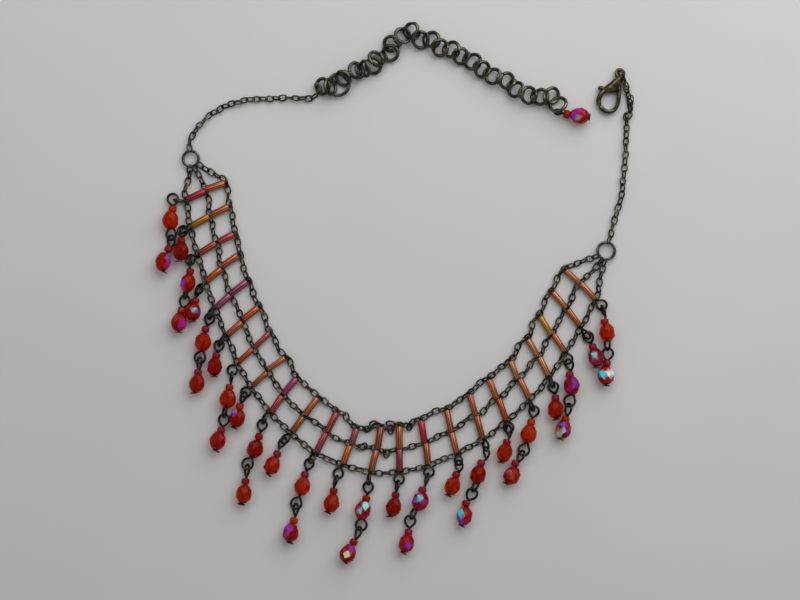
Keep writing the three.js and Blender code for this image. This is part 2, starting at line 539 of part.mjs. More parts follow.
function clasp() {
  const hook = [];
  for (let i = 0; i <= 10; i++) {
    const angle = THREE.MathUtils.degToRad(CLASP.hookFrom + ((CLASP.hookTo - CLASP.hookFrom) * i) / 10);
    hook.push(V(CLASP.hookCentre[0] + CLASP.hookRadius * Math.cos(angle), CLASP.hookCentre[1] + CLASP.hookRadius * Math.sin(angle), CLASP.middle));
  }
  const body = slab(CLASP_OUTLINE, CLASP.thickness, CLASP.middle)
    .subtract(disc(CLASP.rivet, CLASP.slotRadius, CLASP.slot, CLASP.middle, 20));
  return join([
    body,
    disc(CLASP.rivet, CLASP.rivetRadius, CLASP.thickness - 0.4, CLASP.middle, 10),
    tube(hook, CLASP.hookWire),
    ring(at(CLASP.eye, CLASP.middle), CLASP.eyeOuter, CLASP.eyeWire, V(1, 0, 0), V(0, 1, 0), 12, 6),
  ]);
}

function lever() {
  const pivot = at(CLASP.rivet, CLASP.middle);
  const armStart = at(LEVER.armRoute[0], CLASP.middle);
  const nub = at(LEVER.nub, CLASP.middle);
  const blade = (to) => {
    const along = to.clone().sub(pivot).normalize();
    const across = UP.clone().cross(along).multiplyScalar(LEVER.bladeWidth / 2);
    const far = to.clone().addScaledVector(along, 0.2);
    return slab([[pivot.x + across.x, pivot.y + across.y], [pivot.x - across.x, pivot.y - across.y],
      [far.x - across.x, far.y - across.y], [far.x + across.x, far.y + across.y]], LEVER.blade, CLASP.middle);
  };
  const nubBall = new THREE.SphereGeometry(LEVER.nubRadius, 8, 6);
  nubBall.rotateX(Math.PI / 2);
  nubBall.translate(nub.x, nub.y, nub.z);
  return join([
    disc(CLASP.rivet, LEVER.hub, LEVER.blade, CLASP.middle, 16),
    blade(armStart),
    blade(nub),
    tube(LEVER.armRoute.map((row) => at(row, CLASP.middle)), LEVER.arm),
    solid(nubBall),
  ]).subtract(disc(CLASP.rivet, LEVER.bore, LEVER.blade + 1, CLASP.middle, 16));
}

// --------------------------------------------------------------- assembly
const necklace = new THREE.Group();
necklace.position.set(CENTRE_SHIFT.x, CENTRE_SHIFT.y, 0);
function add(name, body, look) {
  const mesh = new THREE.Mesh(geometryOf(body), new THREE.MeshStandardMaterial(look));
  mesh.name = name;
  necklace.add(mesh);
}
const numbered = (name, i) => `${name}_${String(i + 1).padStart(2, '0')}`;

add('inner_chain', bibChain(INNER_CHAIN, 'inner'), METAL);
add('middle_chain', bibChain(MIDDLE_CHAIN, 'middle'), METAL);
add('outer_chain', bibChain(OUTER_CHAIN, 'outer'), METAL);
RUNGS.forEach((_, i) => add(numbered('rung', i), rungBody(i), { color: BUGLE_GLASS[i % BUGLE_GLASS.length], roughness: 0.3, metalness: 0.3 }));
DROPS.forEach((_, i) => add(numbered('drop', i), dropBody(i), RED_GLASS));
add('left_ring', ring(V(LEFT_RING.x, LEFT_RING.y, JUMP_RING_HEIGHT), LEFT_RING.outer, JUMP_RING_WIRE, V(1, 0, 0), V(0, 1, 0), 14, 4), METAL);
add('right_ring', ring(V(RIGHT_RING.x, RIGHT_RING.y, JUMP_RING_HEIGHT), RIGHT_RING.outer, JUMP_RING_WIRE, V(1, 0, 0), V(0, 1, 0), 14, 4), METAL);

const firstLink = V(EXTENDER_FIRST.x, EXTENDER_FIRST.y, RING_HEIGHT);
const secondLink = uprightOn(firstLink, 0.55);
const firstRadius = (EXTENDER_FIRST.outer - EXTENDER_LINK.wire) / 2;
add('left_neck_chain', neckChain(LEFT_NECK, NECK_WIDTH,
  ringEnd(LEFT_RING, leftRadius, angleTo(LEFT_RING, LEFT_NECK[0])),
  ringEnd(EXTENDER_FIRST, firstRadius, angleTo(EXTENDER_FIRST, LEFT_NECK[LEFT_NECK.length - 1]), RING_HEIGHT)), METAL);
add('right_neck_chain', neckChain(RIGHT_NECK, NECK_WIDTH,
  ringEnd(RIGHT_RING, rightRadius, angleTo(RIGHT_RING, RIGHT_NECK[0])),
  ringEnd({ x: CLASP.eye[0], y: CLASP.eye[1] }, (CLASP.eyeOuter - CLASP.eyeWire) / 2,
    CLASP.chainAngle)), METAL);
add('extender_first_link', ring(firstLink, EXTENDER_FIRST.outer, EXTENDER_LINK.wire, V(1, 0, 0), V(0, 1, 0), 12, 4), METAL);
add('extender_second_link', ring(secondLink.centre, EXTENDER_LINK.outer, EXTENDER_LINK.wire, secondLink.out, UP, 12, 4), METAL);
add('extender_ring', ring(bigAt, EXTENDER_RING.outer, EXTENDER_RING.wire, V(1, 0, 0), V(0, 1, 0), 16, 4), METAL);
add('extender_chain', extenderChain(), METAL);
add('extender_drop', extenderDrop(), RED_GLASS);
add('clasp_body', clasp(), METAL);
add('clasp_lever', lever(), METAL);

export default necklace;
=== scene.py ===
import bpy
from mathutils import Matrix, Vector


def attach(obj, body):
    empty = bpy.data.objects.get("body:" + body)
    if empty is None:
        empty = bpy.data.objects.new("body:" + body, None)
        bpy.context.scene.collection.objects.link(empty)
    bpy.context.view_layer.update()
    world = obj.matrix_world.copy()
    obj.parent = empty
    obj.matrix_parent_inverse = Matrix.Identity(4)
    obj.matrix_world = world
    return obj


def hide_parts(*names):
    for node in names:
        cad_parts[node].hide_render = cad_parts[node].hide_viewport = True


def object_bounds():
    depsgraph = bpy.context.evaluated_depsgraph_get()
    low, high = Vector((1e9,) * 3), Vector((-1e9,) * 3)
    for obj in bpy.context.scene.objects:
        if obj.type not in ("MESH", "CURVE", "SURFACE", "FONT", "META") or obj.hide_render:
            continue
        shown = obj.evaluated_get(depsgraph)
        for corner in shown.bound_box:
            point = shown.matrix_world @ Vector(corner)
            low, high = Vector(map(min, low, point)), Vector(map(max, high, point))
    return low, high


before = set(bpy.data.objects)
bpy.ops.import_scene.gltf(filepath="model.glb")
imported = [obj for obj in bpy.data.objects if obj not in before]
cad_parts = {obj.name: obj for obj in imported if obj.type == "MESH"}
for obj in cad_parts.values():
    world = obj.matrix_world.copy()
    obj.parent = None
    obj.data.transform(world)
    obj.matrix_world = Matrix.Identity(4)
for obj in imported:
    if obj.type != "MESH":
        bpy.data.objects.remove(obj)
CAD_BOX = [list(v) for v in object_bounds()]

# A beaded choker lying on a pale surface: three rows of fine chain tied together by
# long glass beads on pins, a fringe of faceted bead drops, an extender and a lobster clasp.
# Tables are in millimetres from the middle of the piece, and P() places a table point.

import math
import random

import bmesh
import bpy
import numpy as np
from mathutils import Matrix, Vector

UP = np.array([0.0, 0.0, 1.0])
SHIFT = (0.285, -0.115)  # the tables' origin in the row frame, mm


def P(row, z=0.0):
    """A table point as a row-frame point in mm."""
    return np.array([row[0] + SHIFT[0], row[1] + SHIFT[1], z])


def unit(v):
    n = np.linalg.norm(v)
    return v / n if n > 1e-12 else v


def turned_about(v, axis, angle):
    """v turned about a unit axis by the right-hand rule, in radians."""
    c, s = math.cos(angle), math.sin(angle)
    return v * c + np.cross(axis, v) * s + axis * np.dot(axis, v) * (1 - c)


# ---------------------------------------------------------------------- tables
# Jump rings: (centre), outer size, wire.
LEFT_RING = ((-71.59, 47.07), 6.5, 1.05)
RIGHT_RING = ((73.52, 14.87), 7.0, 1.05)

# Rungs from the left ring round to the right: where the pin crosses each chain, the ends of its two long beads, its eye, and the beads' colours.
RUNGS = [
    {"inner": (-58.78, 38.74), "inner_bead_start": (-59.97, 38.50), "inner_bead_end": (-65.99, 36.54), "middle": (-66.48, 36.16), "outer_bead_start": (-66.97, 35.56), "outer_bead_end": (-72.64, 33.01), "outer": (-73.20, 32.79), "eye": (-75.58, 32.38), "looks": ('copper', 'crimson')},
    {"inner": (-58.01, 30.52), "inner_bead_start": (-58.50, 30.31), "inner_bead_end": (-64.28, 27.41), "middle": (-65.01, 27.12), "outer_bead_start": (-65.64, 26.71), "outer_bead_end": (-71.03, 23.62), "outer": (-71.73, 22.82), "eye": (-73.69, 22.22), "looks": ('copper', 'gold')},
    {"inner": (-55.56, 20.93), "inner_bead_start": (-56.89, 20.62), "inner_bead_end": (-61.44, 18.31), "middle": (-62.39, 17.92), "outer_bead_start": (-63.19, 17.36), "outer_bead_end": (-68.34, 14.17), "outer": (-69.25, 13.09), "eye": (-71.59, 11.86), "looks": ('rose', 'rose')},
    {"inner": (-54.34, 13.37), "inner_bead_start": (-55.35, 13.19), "inner_bead_end": (-60.22, 9.76), "middle": (-60.88, 8.92), "outer_bead_start": (-61.41, 8.29), "outer_bead_end": (-65.89, 4.55), "outer": (-66.48, 3.61), "eye": (-68.34, 1.75), "looks": ('copper', 'orange')},
    {"inner": (-51.36, 4.62), "inner_bead_start": (-52.13, 4.06), "inner_bead_end": (-57.28, 0.17), "middle": (-57.84, -0.42), "outer_bead_start": (-58.26, -0.88), "outer_bead_end": (-62.46, -4.72), "outer": (-63.16, -5.49), "eye": (-64.73, -7.11), "looks": ('mauve', 'mauve')},
    {"inner": (-47.69, -4.31), "inner_bead_start": (-48.21, -5.04), "inner_bead_end": (-52.87, -8.71), "middle": (-53.46, -9.62), "outer_bead_start": (-54.09, -10.32), "outer_bead_end": (-58.50, -14.28), "outer": (-59.41, -15.16), "eye": (-60.95, -16.69), "looks": ('orange', 'copper')},
    {"inner": (-43.80, -13.34), "inner_bead_start": (-44.29, -14.00), "inner_bead_end": (-49.05, -18.55), "middle": (-49.65, -19.01), "outer_bead_start": (-50.28, -19.64), "outer_bead_end": (-54.69, -23.76), "outer": (-55.18, -24.81), "eye": (-56.89, -26.60), "looks": ('rose', 'rust')},
    {"inner": (-38.55, -21.88), "inner_bead_start": (-38.97, -22.57), "inner_bead_end": (-44.29, -26.36), "middle": (-44.71, -27.19), "outer_bead_start": (-45.38, -27.93), "outer_bead_end": (-49.79, -32.09), "outer": (-50.52, -33.01), "eye": (-52.20, -34.34), "looks": ('copper', 'brown')},
    {"inner": (-34.35, -29.29), "inner_bead_start": (-34.77, -29.79), "inner_bead_end": (-38.90, -34.69), "middle": (-39.39, -35.52), "outer_bead_start": (-40.02, -36.22), "outer_bead_end": (-43.35, -41.26), "outer": (-44.01, -41.72), "eye": (-45.76, -43.57), "looks": ('magenta', 'rose')},
    {"inner": (-27.00, -36.09), "inner_bead_start": (-27.42, -36.68), "inner_bead_end": (-31.41, -41.93), "middle": (-31.97, -42.59), "outer_bead_start": (-32.64, -43.57), "outer_bead_end": (-35.86, -47.99), "outer": (-36.66, -49.11), "eye": (-38.34, -50.64), "looks": ('copper', 'bronze')},
    {"inner": (-20.32, -41.23), "inner_bead_start": (-20.74, -41.82), "inner_bead_end": (-23.71, -47.88), "middle": (-24.10, -48.41), "outer_bead_start": (-24.59, -49.17), "outer_bead_end": (-27.56, -55.12), "outer": (-27.98, -55.93), "eye": (-29.10, -57.44), "looks": ('rose', 'rose')},
    {"inner": (-13.56, -46.72), "inner_bead_start": (-13.77, -47.42), "inner_bead_end": (-15.35, -52.19), "middle": (-15.73, -52.85), "outer_bead_start": (-16.19, -53.59), "outer_bead_end": (-18.25, -59.19), "outer": (-19.06, -59.74), "eye": (-20.00, -62.69), "looks": ('mauve', 'orange')},
    {"inner": (-5.34, -46.38), "inner_bead_start": (-5.20, -46.86), "inner_bead_end": (-6.32, -53.83), "middle": (-6.63, -54.42), "outer_bead_start": (-6.88, -55.12), "outer_bead_end": (-8.52, -61.70), "outer": (-9.01, -62.47), "eye": (-9.40, -64.79), "looks": ('brown', 'copper')},
    {"inner": (1.14, -45.89), "inner_bead_start": (1.17, -46.59), "inner_bead_end": (1.31, -53.72), "middle": (1.31, -54.29), "outer_bead_start": (1.31, -54.88), "outer_bead_end": (1.31, -61.70), "outer": (1.24, -62.44), "eye": (1.17, -64.64), "looks": ('copper', 'maroon')},
    {"inner": (8.77, -43.92), "inner_bead_start": (8.91, -44.69), "inner_bead_end": (9.99, -51.62), "middle": (10.24, -52.08), "outer_bead_start": (10.55, -52.78), "outer_bead_end": (11.32, -59.43), "outer": (11.43, -60.13), "eye": (11.60, -62.05), "looks": ('crimson', 'brown')},
    {"inner": (17.76, -40.29), "inner_bead_start": (17.87, -40.99), "inner_bead_end": (19.34, -47.77), "middle": (19.48, -48.34), "outer_bead_start": (19.65, -49.04), "outer_bead_end": (21.23, -55.47), "outer": (21.58, -56.10), "eye": (21.86, -57.92), "looks": ('copper', 'copper')},
    {"inner": (25.64, -35.04), "inner_bead_start": (25.92, -35.59), "inner_bead_end": (27.74, -42.07), "middle": (27.91, -42.63), "outer_bead_start": (28.30, -43.16), "outer_bead_end": (30.26, -50.44), "outer": (30.47, -50.99), "eye": (31.45, -53.02), "looks": ('copper', 'brown')},
    {"inner": (32.29, -29.51), "inner_bead_start": (32.74, -30.27), "inner_bead_end": (35.09, -36.22), "middle": (35.51, -36.71), "outer_bead_start": (36.14, -37.20), "outer_bead_end": (38.45, -43.92), "outer": (38.73, -44.62), "eye": (39.36, -46.59), "looks": ('copper', 'rust')},
    {"inner": (39.99, -23.27), "inner_bead_start": (40.23, -23.84), "inner_bead_end": (42.30, -29.33), "middle": (42.82, -29.86), "outer_bead_start": (43.56, -30.41), "outer_bead_end": (46.43, -36.26), "outer": (46.60, -36.92), "eye": (47.41, -39.16), "looks": ('peach', 'copper')},
    {"inner": (45.87, -15.44), "inner_bead_start": (46.39, -16.24), "inner_bead_end": (49.33, -21.56), "middle": (49.82, -22.12), "outer_bead_start": (50.45, -22.79), "outer_bead_end": (53.18, -28.31), "outer": (53.43, -29.19), "eye": (54.41, -31.04), "looks": ('peach', 'peach')},
    {"inner": (50.24, -7.28), "inner_bead_start": (50.66, -8.22), "inner_bead_end": (53.99, -13.86), "middle": (54.62, -14.24), "outer_bead_start": (55.39, -14.74), "outer_bead_end": (58.82, -19.91), "outer": (59.27, -20.65), "eye": (59.94, -22.64), "looks": ('amber', 'copper')},
    {"inner": (54.55, 1.01), "inner_bead_start": (55.04, 0.24), "inner_bead_end": (59.10, -4.55), "middle": (59.59, -5.18), "outer_bead_start": (60.43, -5.99), "outer_bead_end": (64.07, -11.06), "outer": (64.59, -11.76), "eye": (66.38, -14.17), "looks": ('peach', 'copper')},
    {"inner": (58.85, 8.61), "inner_bead_start": (59.59, 7.87), "inner_bead_end": (63.86, 3.89), "middle": (64.38, 3.54), "outer_bead_start": (64.98, 3.22), "outer_bead_end": (69.32, -1.64), "outer": (69.74, -2.41), "eye": (71.77, -3.89), "looks": ('peach', 'peach')},
]

# How far each rung's eye and the loop hung in it lean from lying flat, in degrees.
LEANS = [(85, 5), (60, 15), (25, 75), (45, 60), (65, 10), (70, 15), (10, 75), (15, 55), (70, 15), (45, 50), (60, 25), (15, 75), (75, 5), (5, 75), (10, 75), (45, 45), (60, 60), (10, 60), (75, 5), (75, 10), (15, 40), (60, 5), (5, 80)]

# Drops: loop, seed bead, faceted bead, and on a long one two joined loops and the lower pair, then the pin's head.
# spots are coated facets, the coating's reflected colour painted in: (x, y, radius, colour, strength) from the bead's
# middle.
DROPS = [
    {"loop": (-77.89, 32.79), "seed": (-77.89, 29.64), "bead": (-78.52, 25.62), "loop_a": (-78.38, 20.93), "loop_b": (-78.38, 18.23), "seed_2": (-79.26, 15.78), "bead_2": (-81.11, 11.13), "head": (-80.76, 7.91), "looks": ('orange', 'orange', 'magenta', 'red'), "spots_2": [(2.17, 1.47, 0.94, 'blue', 0.8), (2.27, -0.28, 0.91, 'violet', 0.8), (1.22, -1.51, 0.98, 'magenta', 0.5)], "wide": (5.74, 5.45), "leans": (25, 40), "ab": True},
    {"loop": (-74.39, 21.70), "seed": (-74.85, 18.72), "bead": (-74.95, 14.81), "head": (-75.69, 11.38), "looks": ('red', 'dark'), "wide": (5.56,)},
    {"loop": (-71.70, 10.96), "seed": (-71.66, 7.94), "bead": (-72.40, 3.67), "loop_a": (-73.24, 0.17), "loop_b": (-73.73, -2.84), "seed_2": (-74.71, -5.64), "bead_2": (-75.58, -9.94), "head": (-75.69, -13.37), "looks": ('red', 'red', 'orange', 'rose'), "spots": [(-2.21, 0.00, 1.47, 'violet', 0.95), (-1.54, -2.10, 0.91, 'pink', 0.4)], "spots_2": [(1.64, -0.39, 1.47, 'magenta', 0.8), (0.42, -1.44, 1.05, 'violet', 0.5), (-0.98, 1.36, 1.05, 'pink', 0.25)], "wide": (5.34, 5.52), "ab": True},
    {"loop": (-69.00, 0.59), "seed": (-69.91, -2.34), "bead": (-70.68, -6.26), "head": (-70.79, -9.21), "looks": ('magenta', 'dark'), "spots": [(0.88, 0.63, 1.01, 'cyan', 1.0), (0.70, 0.98, 0.59, 'white', 0.8), (2.34, -0.91, 0.84, 'violet', 0.6)], "wide": (5.56,), "ab": True},
    {"loop": (-65.08, -8.99), "seed": (-66.38, -12.29), "bead": (-67.18, -16.97), "loop_a": (-68.27, -22.16), "loop_b": (-68.51, -24.39), "seed_2": (-69.00, -27.34), "bead_2": (-69.25, -31.26), "head": (-70.37, -34.44), "looks": ('magenta', 'orange', 'magenta', 'red'), "wide": (5.88, 5.41), "leans": (14, 62)},
    {"loop": (-61.79, -18.38), "seed": (-62.63, -21.52), "bead": (-63.09, -25.38), "head": (-63.23, -28.56), "looks": ('magenta', 'dark'), "spots": [(-1.75, 0.88, 0.84, 'violet', 0.5)], "wide": (5.23,)},
    {"loop": (-57.31, -29.33), "seed": (-57.98, -32.44), "bead": (-58.50, -36.64), "loop_a": (-59.59, -41.12), "loop_b": (-60.01, -44.27), "seed_2": (-60.88, -47.53), "bead_2": (-62.04, -51.27), "head": (-62.56, -54.42), "looks": ('orange', 'orange', 'magenta', 'red'), "spots_2": [(1.22, -2.27, 0.84, 'magenta', 0.6)], "wide": (5.88, 5.67)},
    {"loop": (-53.18, -36.22), "seed": (-54.37, -39.09), "bead": (-55.21, -43.40), "head": (-56.26, -46.72), "looks": ('orange', 'dark'), "spots": [(-1.19, 1.71, 1.05, 'violet', 0.9), (-0.63, 2.41, 0.70, 'ice', 0.6)], "wide": (5.56,), "ab": True},
    {"loop": (-46.67, -46.06), "seed": (-47.65, -49.74), "bead": (-48.98, -54.14), "loop_a": (-51.57, -59.32), "loop_b": (-51.89, -61.77), "seed_2": (-52.41, -65.27), "bead_2": (-52.94, -69.82), "head": (-53.81, -73.32), "looks": ('red', 'dark', 'crimson', 'orange'), "wide": (5.77, 5.56), "leans": (14, 62)},
    {"loop": (-39.60, -52.11), "seed": (-41.25, -55.69), "bead": (-43.00, -59.81), "head": (-44.33, -63.00), "looks": ('magenta', 'orange'), "wide": (5.52,)},
    {"loop": (-30.29, -59.67), "seed": (-31.66, -63.00), "bead": (-32.53, -67.16), "loop_a": (-34.63, -73.15), "loop_b": (-34.88, -75.39), "seed_2": (-35.47, -78.96), "bead_2": (-36.59, -83.26), "head": (-36.94, -86.94), "looks": ('purple', 'orange', 'orange', 'rose'), "spots_2": [(-0.77, 1.54, 1.40, 'violet', 0.85), (-1.19, -0.39, 1.05, 'blue', 0.5)], "wide": (5.67, 5.67), "leans": (14, 62), "ab": True},
    {"loop": (-20.98, -65.45), "seed": (-21.61, -68.64), "bead": (-22.38, -72.97), "head": (-23.71, -76.30), "looks": ('red', 'orange'), "wide": (5.96,), "waist": 0.78, "turn": (0.25,)},
    {"loop": (-9.64, -67.79), "seed": (-10.24, -71.40), "bead": (-11.53, -75.56), "loop_a": (-12.02, -80.57), "loop_b": (-13.14, -83.51), "seed_2": (-14.58, -86.55), "bead_2": (-16.64, -90.55), "head": (-17.90, -94.11), "looks": ('red', 'rose', 'red', 'rose'), "spots": [(1.05, 1.82, 1.26, 'mint', 0.97), (-1.05, 0.14, 1.12, 'ice', 0.8), (-0.28, -1.61, 1.05, 'plum', 0.6), (-1.68, 1.54, 0.88, 'plum', 0.6)], "spots_2": [(-0.21, -0.00, 1.19, 'cream', 0.95), (1.33, 2.00, 1.19, 'violet', 0.6), (-1.82, 1.82, 1.05, 'plum', 0.5)], "wide": (5.67, 5.67), "leans": (14, 62), "ab": True},
    {"loop": (0.54, -67.16), "seed": (0.05, -70.00), "bead": (-0.75, -74.38), "head": (-1.91, -77.07), "looks": ('crimson', 'dark'), "wide": (5.45,)},
    {"loop": (10.87, -64.71), "seed": (9.40, -68.28), "bead": (8.59, -72.45), "loop_a": (6.21, -76.69), "loop_b": (4.99, -79.62), "seed_2": (4.50, -83.09), "bead_2": (3.76, -87.01), "head": (2.89, -89.95), "looks": ('magenta', 'wine', 'magenta', 'rose'), "spots": [(-0.24, 1.16, 1.26, 'cyan', 0.8), (-0.39, 2.06, 0.70, 'white', 0.9), (-2.21, 0.52, 1.12, 'violet', 0.8), (1.64, -0.17, 1.12, 'magenta', 0.6), (-0.11, -1.75, 1.05, 'magenta', 0.5), (-0.81, 2.84, 0.88, 'violet', 0.6)], "spots_2": [(0.39, -0.59, 1.19, 'violet', 0.85)], "wide": (5.88, 5.45), "ab": True},
    {"loop": (22.10, -60.24), "seed": (21.19, -63.07), "bead": (19.79, -67.16), "head": (18.25, -70.45), "looks": ('crimson', 'orange'), "wide": (5.45,)},
    {"loop": (31.69, -55.54), "seed": (29.84, -58.94), "bead": (28.75, -63.10), "loop_a": (27.77, -67.16), "loop_b": (26.48, -70.14), "seed_2": (24.52, -73.01), "bead_2": (23.96, -77.49), "head": (23.08, -81.06), "looks": ('magenta', 'dark', 'crimson', 'rose'), "spots_2": [(-1.19, 1.19, 1.26, 'cyan', 1.0), (-1.33, -0.74, 0.98, 'blue', 0.85), (-0.94, -2.06, 0.91, 'violet', 0.9)], "wide": (5.52, 5.52), "ab": True},
    {"loop": (39.50, -47.91), "seed": (38.83, -51.73), "bead": (37.96, -55.47), "head": (36.70, -58.62), "looks": ('crimson', 'orange'), "wide": (5.45,)},
    {"loop": (48.25, -41.26), "seed": (47.34, -44.69), "bead": (46.32, -48.89), "loop_a": (44.85, -54.42), "loop_b": (43.59, -56.87), "seed_2": (41.88, -59.04), "bead_2": (40.51, -63.35), "head": (38.31, -66.22), "looks": ('orange', 'orange', 'magenta', 'rose'), "spots_2": [(-0.81, 1.29, 0.91, 'pink', 0.85), (-0.17, -0.52, 0.91, 'gold', 0.4)], "wide": (5.74, 5.81), "leans": (14, 62), "ab": True},
    {"loop": (55.11, -32.86), "seed": (55.74, -36.29), "bead": (55.74, -40.29), "head": (55.84, -43.57), "looks": ('magenta', 'red'), "wide": (5.67,)},
    {"loop": (60.64, -24.89), "seed": (60.71, -28.14), "bead": (61.30, -32.13), "loop_a": (60.85, -37.27), "loop_b": (60.18, -40.49), "seed_2": (59.31, -43.57), "bead_2": (58.43, -47.29), "head": (57.24, -50.79), "looks": ('magenta', 'wine', 'orange', 'wine'), "spots": [(0.91, 0.46, 1.19, 'violet', 0.8), (-1.01, -0.94, 1.22, 'magenta', 0.6), (0.39, 1.86, 0.88, 'blue', 0.5)], "spots_2": [(-0.07, 1.54, 0.98, 'blue', 0.75), (-0.07, -0.31, 0.98, 'ice', 0.85), (-1.47, -1.71, 1.05, 'cream', 0.85), (-2.17, -0.14, 0.84, 'gold', 0.55), (1.33, -0.49, 0.91, 'violet', 0.6)], "wide": (5.67, 5.59), "leans": (14, 62), "ab": True},
    {"loop": (67.36, -15.36), "seed": (68.76, -18.51), "bead": (69.74, -22.22), "head": (69.91, -25.41), "looks": ('magenta', 'wine'), "spots": [(-0.70, 0.77, 1.26, 'ice', 0.85), (0.52, -1.40, 1.05, 'plum', 0.6), (-1.40, -1.40, 0.91, 'violet', 0.5)], "wide": (5.45,), "ab": True},
    {"loop": (72.47, -6.12), "seed": (72.85, -9.59), "bead": (73.66, -13.51), "loop_a": (73.90, -17.64), "loop_b": (74.04, -21.21), "seed_2": (73.69, -24.08), "bead_2": (73.27, -28.46), "head": (73.41, -31.89), "looks": ('red', 'orange', 'magenta', 'rose'), "spots_2": [(-1.22, 0.49, 1.36, 'cyan', 1.0), (1.33, 0.77, 1.36, 'white', 1.0), (-0.04, -1.75, 1.05, 'plum', 0.5)], "wide": (5.45, 5.81), "ab": True},
]

# Bib chains: the lead from the left ring, the way each hangs between one rung and the next, and the lead to the right ring.
INNER_CHAIN = {
    "start": [(-68.86, 44.97), (-66.59, 43.75), (-64.66, 42.35), (-62.56, 41.30), (-60.29, 40.25)],
    "spans": [
        [(-58.89, 36.92), (-58.54, 34.82), (-58.71, 32.73)],
        [(-57.14, 27.47), (-56.89, 25.20), (-56.61, 22.92)],
        [(-55.21, 18.90), (-55.14, 16.80), (-54.69, 14.87)],
        [(-53.53, 11.02), (-53.11, 8.75), (-52.55, 6.47)],
        [(-50.31, 2.62), (-49.79, -0.17), (-49.26, -2.45)],
        [(-46.64, -6.12), (-45.59, -9.10), (-44.99, -11.55)],
        [(-42.26, -15.57), (-41.74, -18.20), (-40.51, -20.30)],
        [(-36.66, -23.62), (-36.31, -25.38), (-35.79, -27.65)],
        [(-32.81, -30.97), (-31.06, -32.38), (-28.96, -34.34)],
        [(-25.11, -37.41), (-23.36, -38.95), (-21.75, -40.07)],
        [(-17.76, -42.00), (-16.89, -43.75), (-15.84, -45.54)],
        [(-11.64, -46.79), (-9.71, -47.84), (-7.79, -45.89)],
        [(-3.41, -46.90), (-1.59, -47.64), (-0.61, -45.50)],
        [(3.03, -46.02), (4.78, -46.02), (6.60, -44.27)],
        [(10.59, -43.01), (12.55, -41.76), (15.14, -40.70)],
        [(19.69, -39.24), (21.23, -37.97), (23.54, -36.22)],
        [(27.60, -33.42), (28.79, -31.67), (30.54, -30.45)],
        [(34.04, -28.35), (35.58, -26.77), (37.54, -25.16)],
        [(41.56, -21.94), (42.09, -19.99), (43.35, -17.39)],
        [(47.34, -13.82), (47.55, -11.59), (48.39, -9.14)],
        [(51.54, -5.42), (52.06, -3.46), (52.45, -1.09)],
        [(55.53, 2.62), (56.09, 4.51), (57.21, 6.82)],
    ],
    "end": [(60.99, 9.52), (63.44, 10.64), (65.89, 11.66), (68.16, 12.21), (70.61, 12.99)],
}
MIDDLE_CHAIN = {
    "start": [(-70.30, 44.13), (-69.21, 41.82), (-67.81, 39.38)],
    "spans": [
        [(-65.54, 33.98), (-65.29, 31.46), (-65.36, 29.22)],
        [(-64.14, 24.82), (-63.96, 22.29), (-63.33, 19.84)],
        [(-61.51, 15.51), (-61.69, 13.12), (-61.65, 10.81)],
        [(-59.59, 6.47), (-59.24, 3.67), (-58.64, 1.29)],
        [(-56.26, -2.84), (-55.28, -5.07), (-54.30, -7.39)],
        [(-52.41, -11.72), (-51.78, -13.96), (-50.87, -16.41)],
        [(-48.35, -21.17), (-46.99, -23.27), (-45.76, -25.38)],
        [(-43.31, -29.22), (-42.05, -31.32), (-40.58, -33.64)],
        [(-37.36, -37.45), (-35.54, -39.24), (-33.72, -41.12)],
        [(-29.87, -43.86), (-27.56, -45.26), (-25.74, -46.72)],
        [(-22.45, -49.80), (-20.21, -50.79), (-17.76, -51.76)],
        [(-13.56, -53.51), (-11.46, -53.66), (-9.01, -53.79)],
        [(-4.46, -55.12), (-2.85, -55.76), (-0.96, -54.49)],
        [(3.59, -54.14), (5.83, -53.51), (8.07, -52.74)],
        [(12.41, -51.20), (14.61, -50.01), (16.89, -48.96)],
        [(21.51, -47.07), (23.26, -45.32), (25.29, -43.71)],
        [(29.84, -41.82), (31.59, -40.14), (33.27, -38.04)],
        [(37.54, -35.66), (39.08, -33.99), (40.48, -31.46)],
        [(44.71, -28.31), (46.15, -26.29), (47.76, -23.76)],
        [(51.33, -20.41), (51.89, -18.31), (52.94, -15.99)],
        [(55.74, -12.21), (57.00, -9.97), (57.98, -7.59)],
        [(60.99, -3.46), (61.69, -1.09), (62.39, 1.36)],
    ],
    "end": [(66.59, 5.71), (68.83, 7.81), (70.93, 10.32)],
}
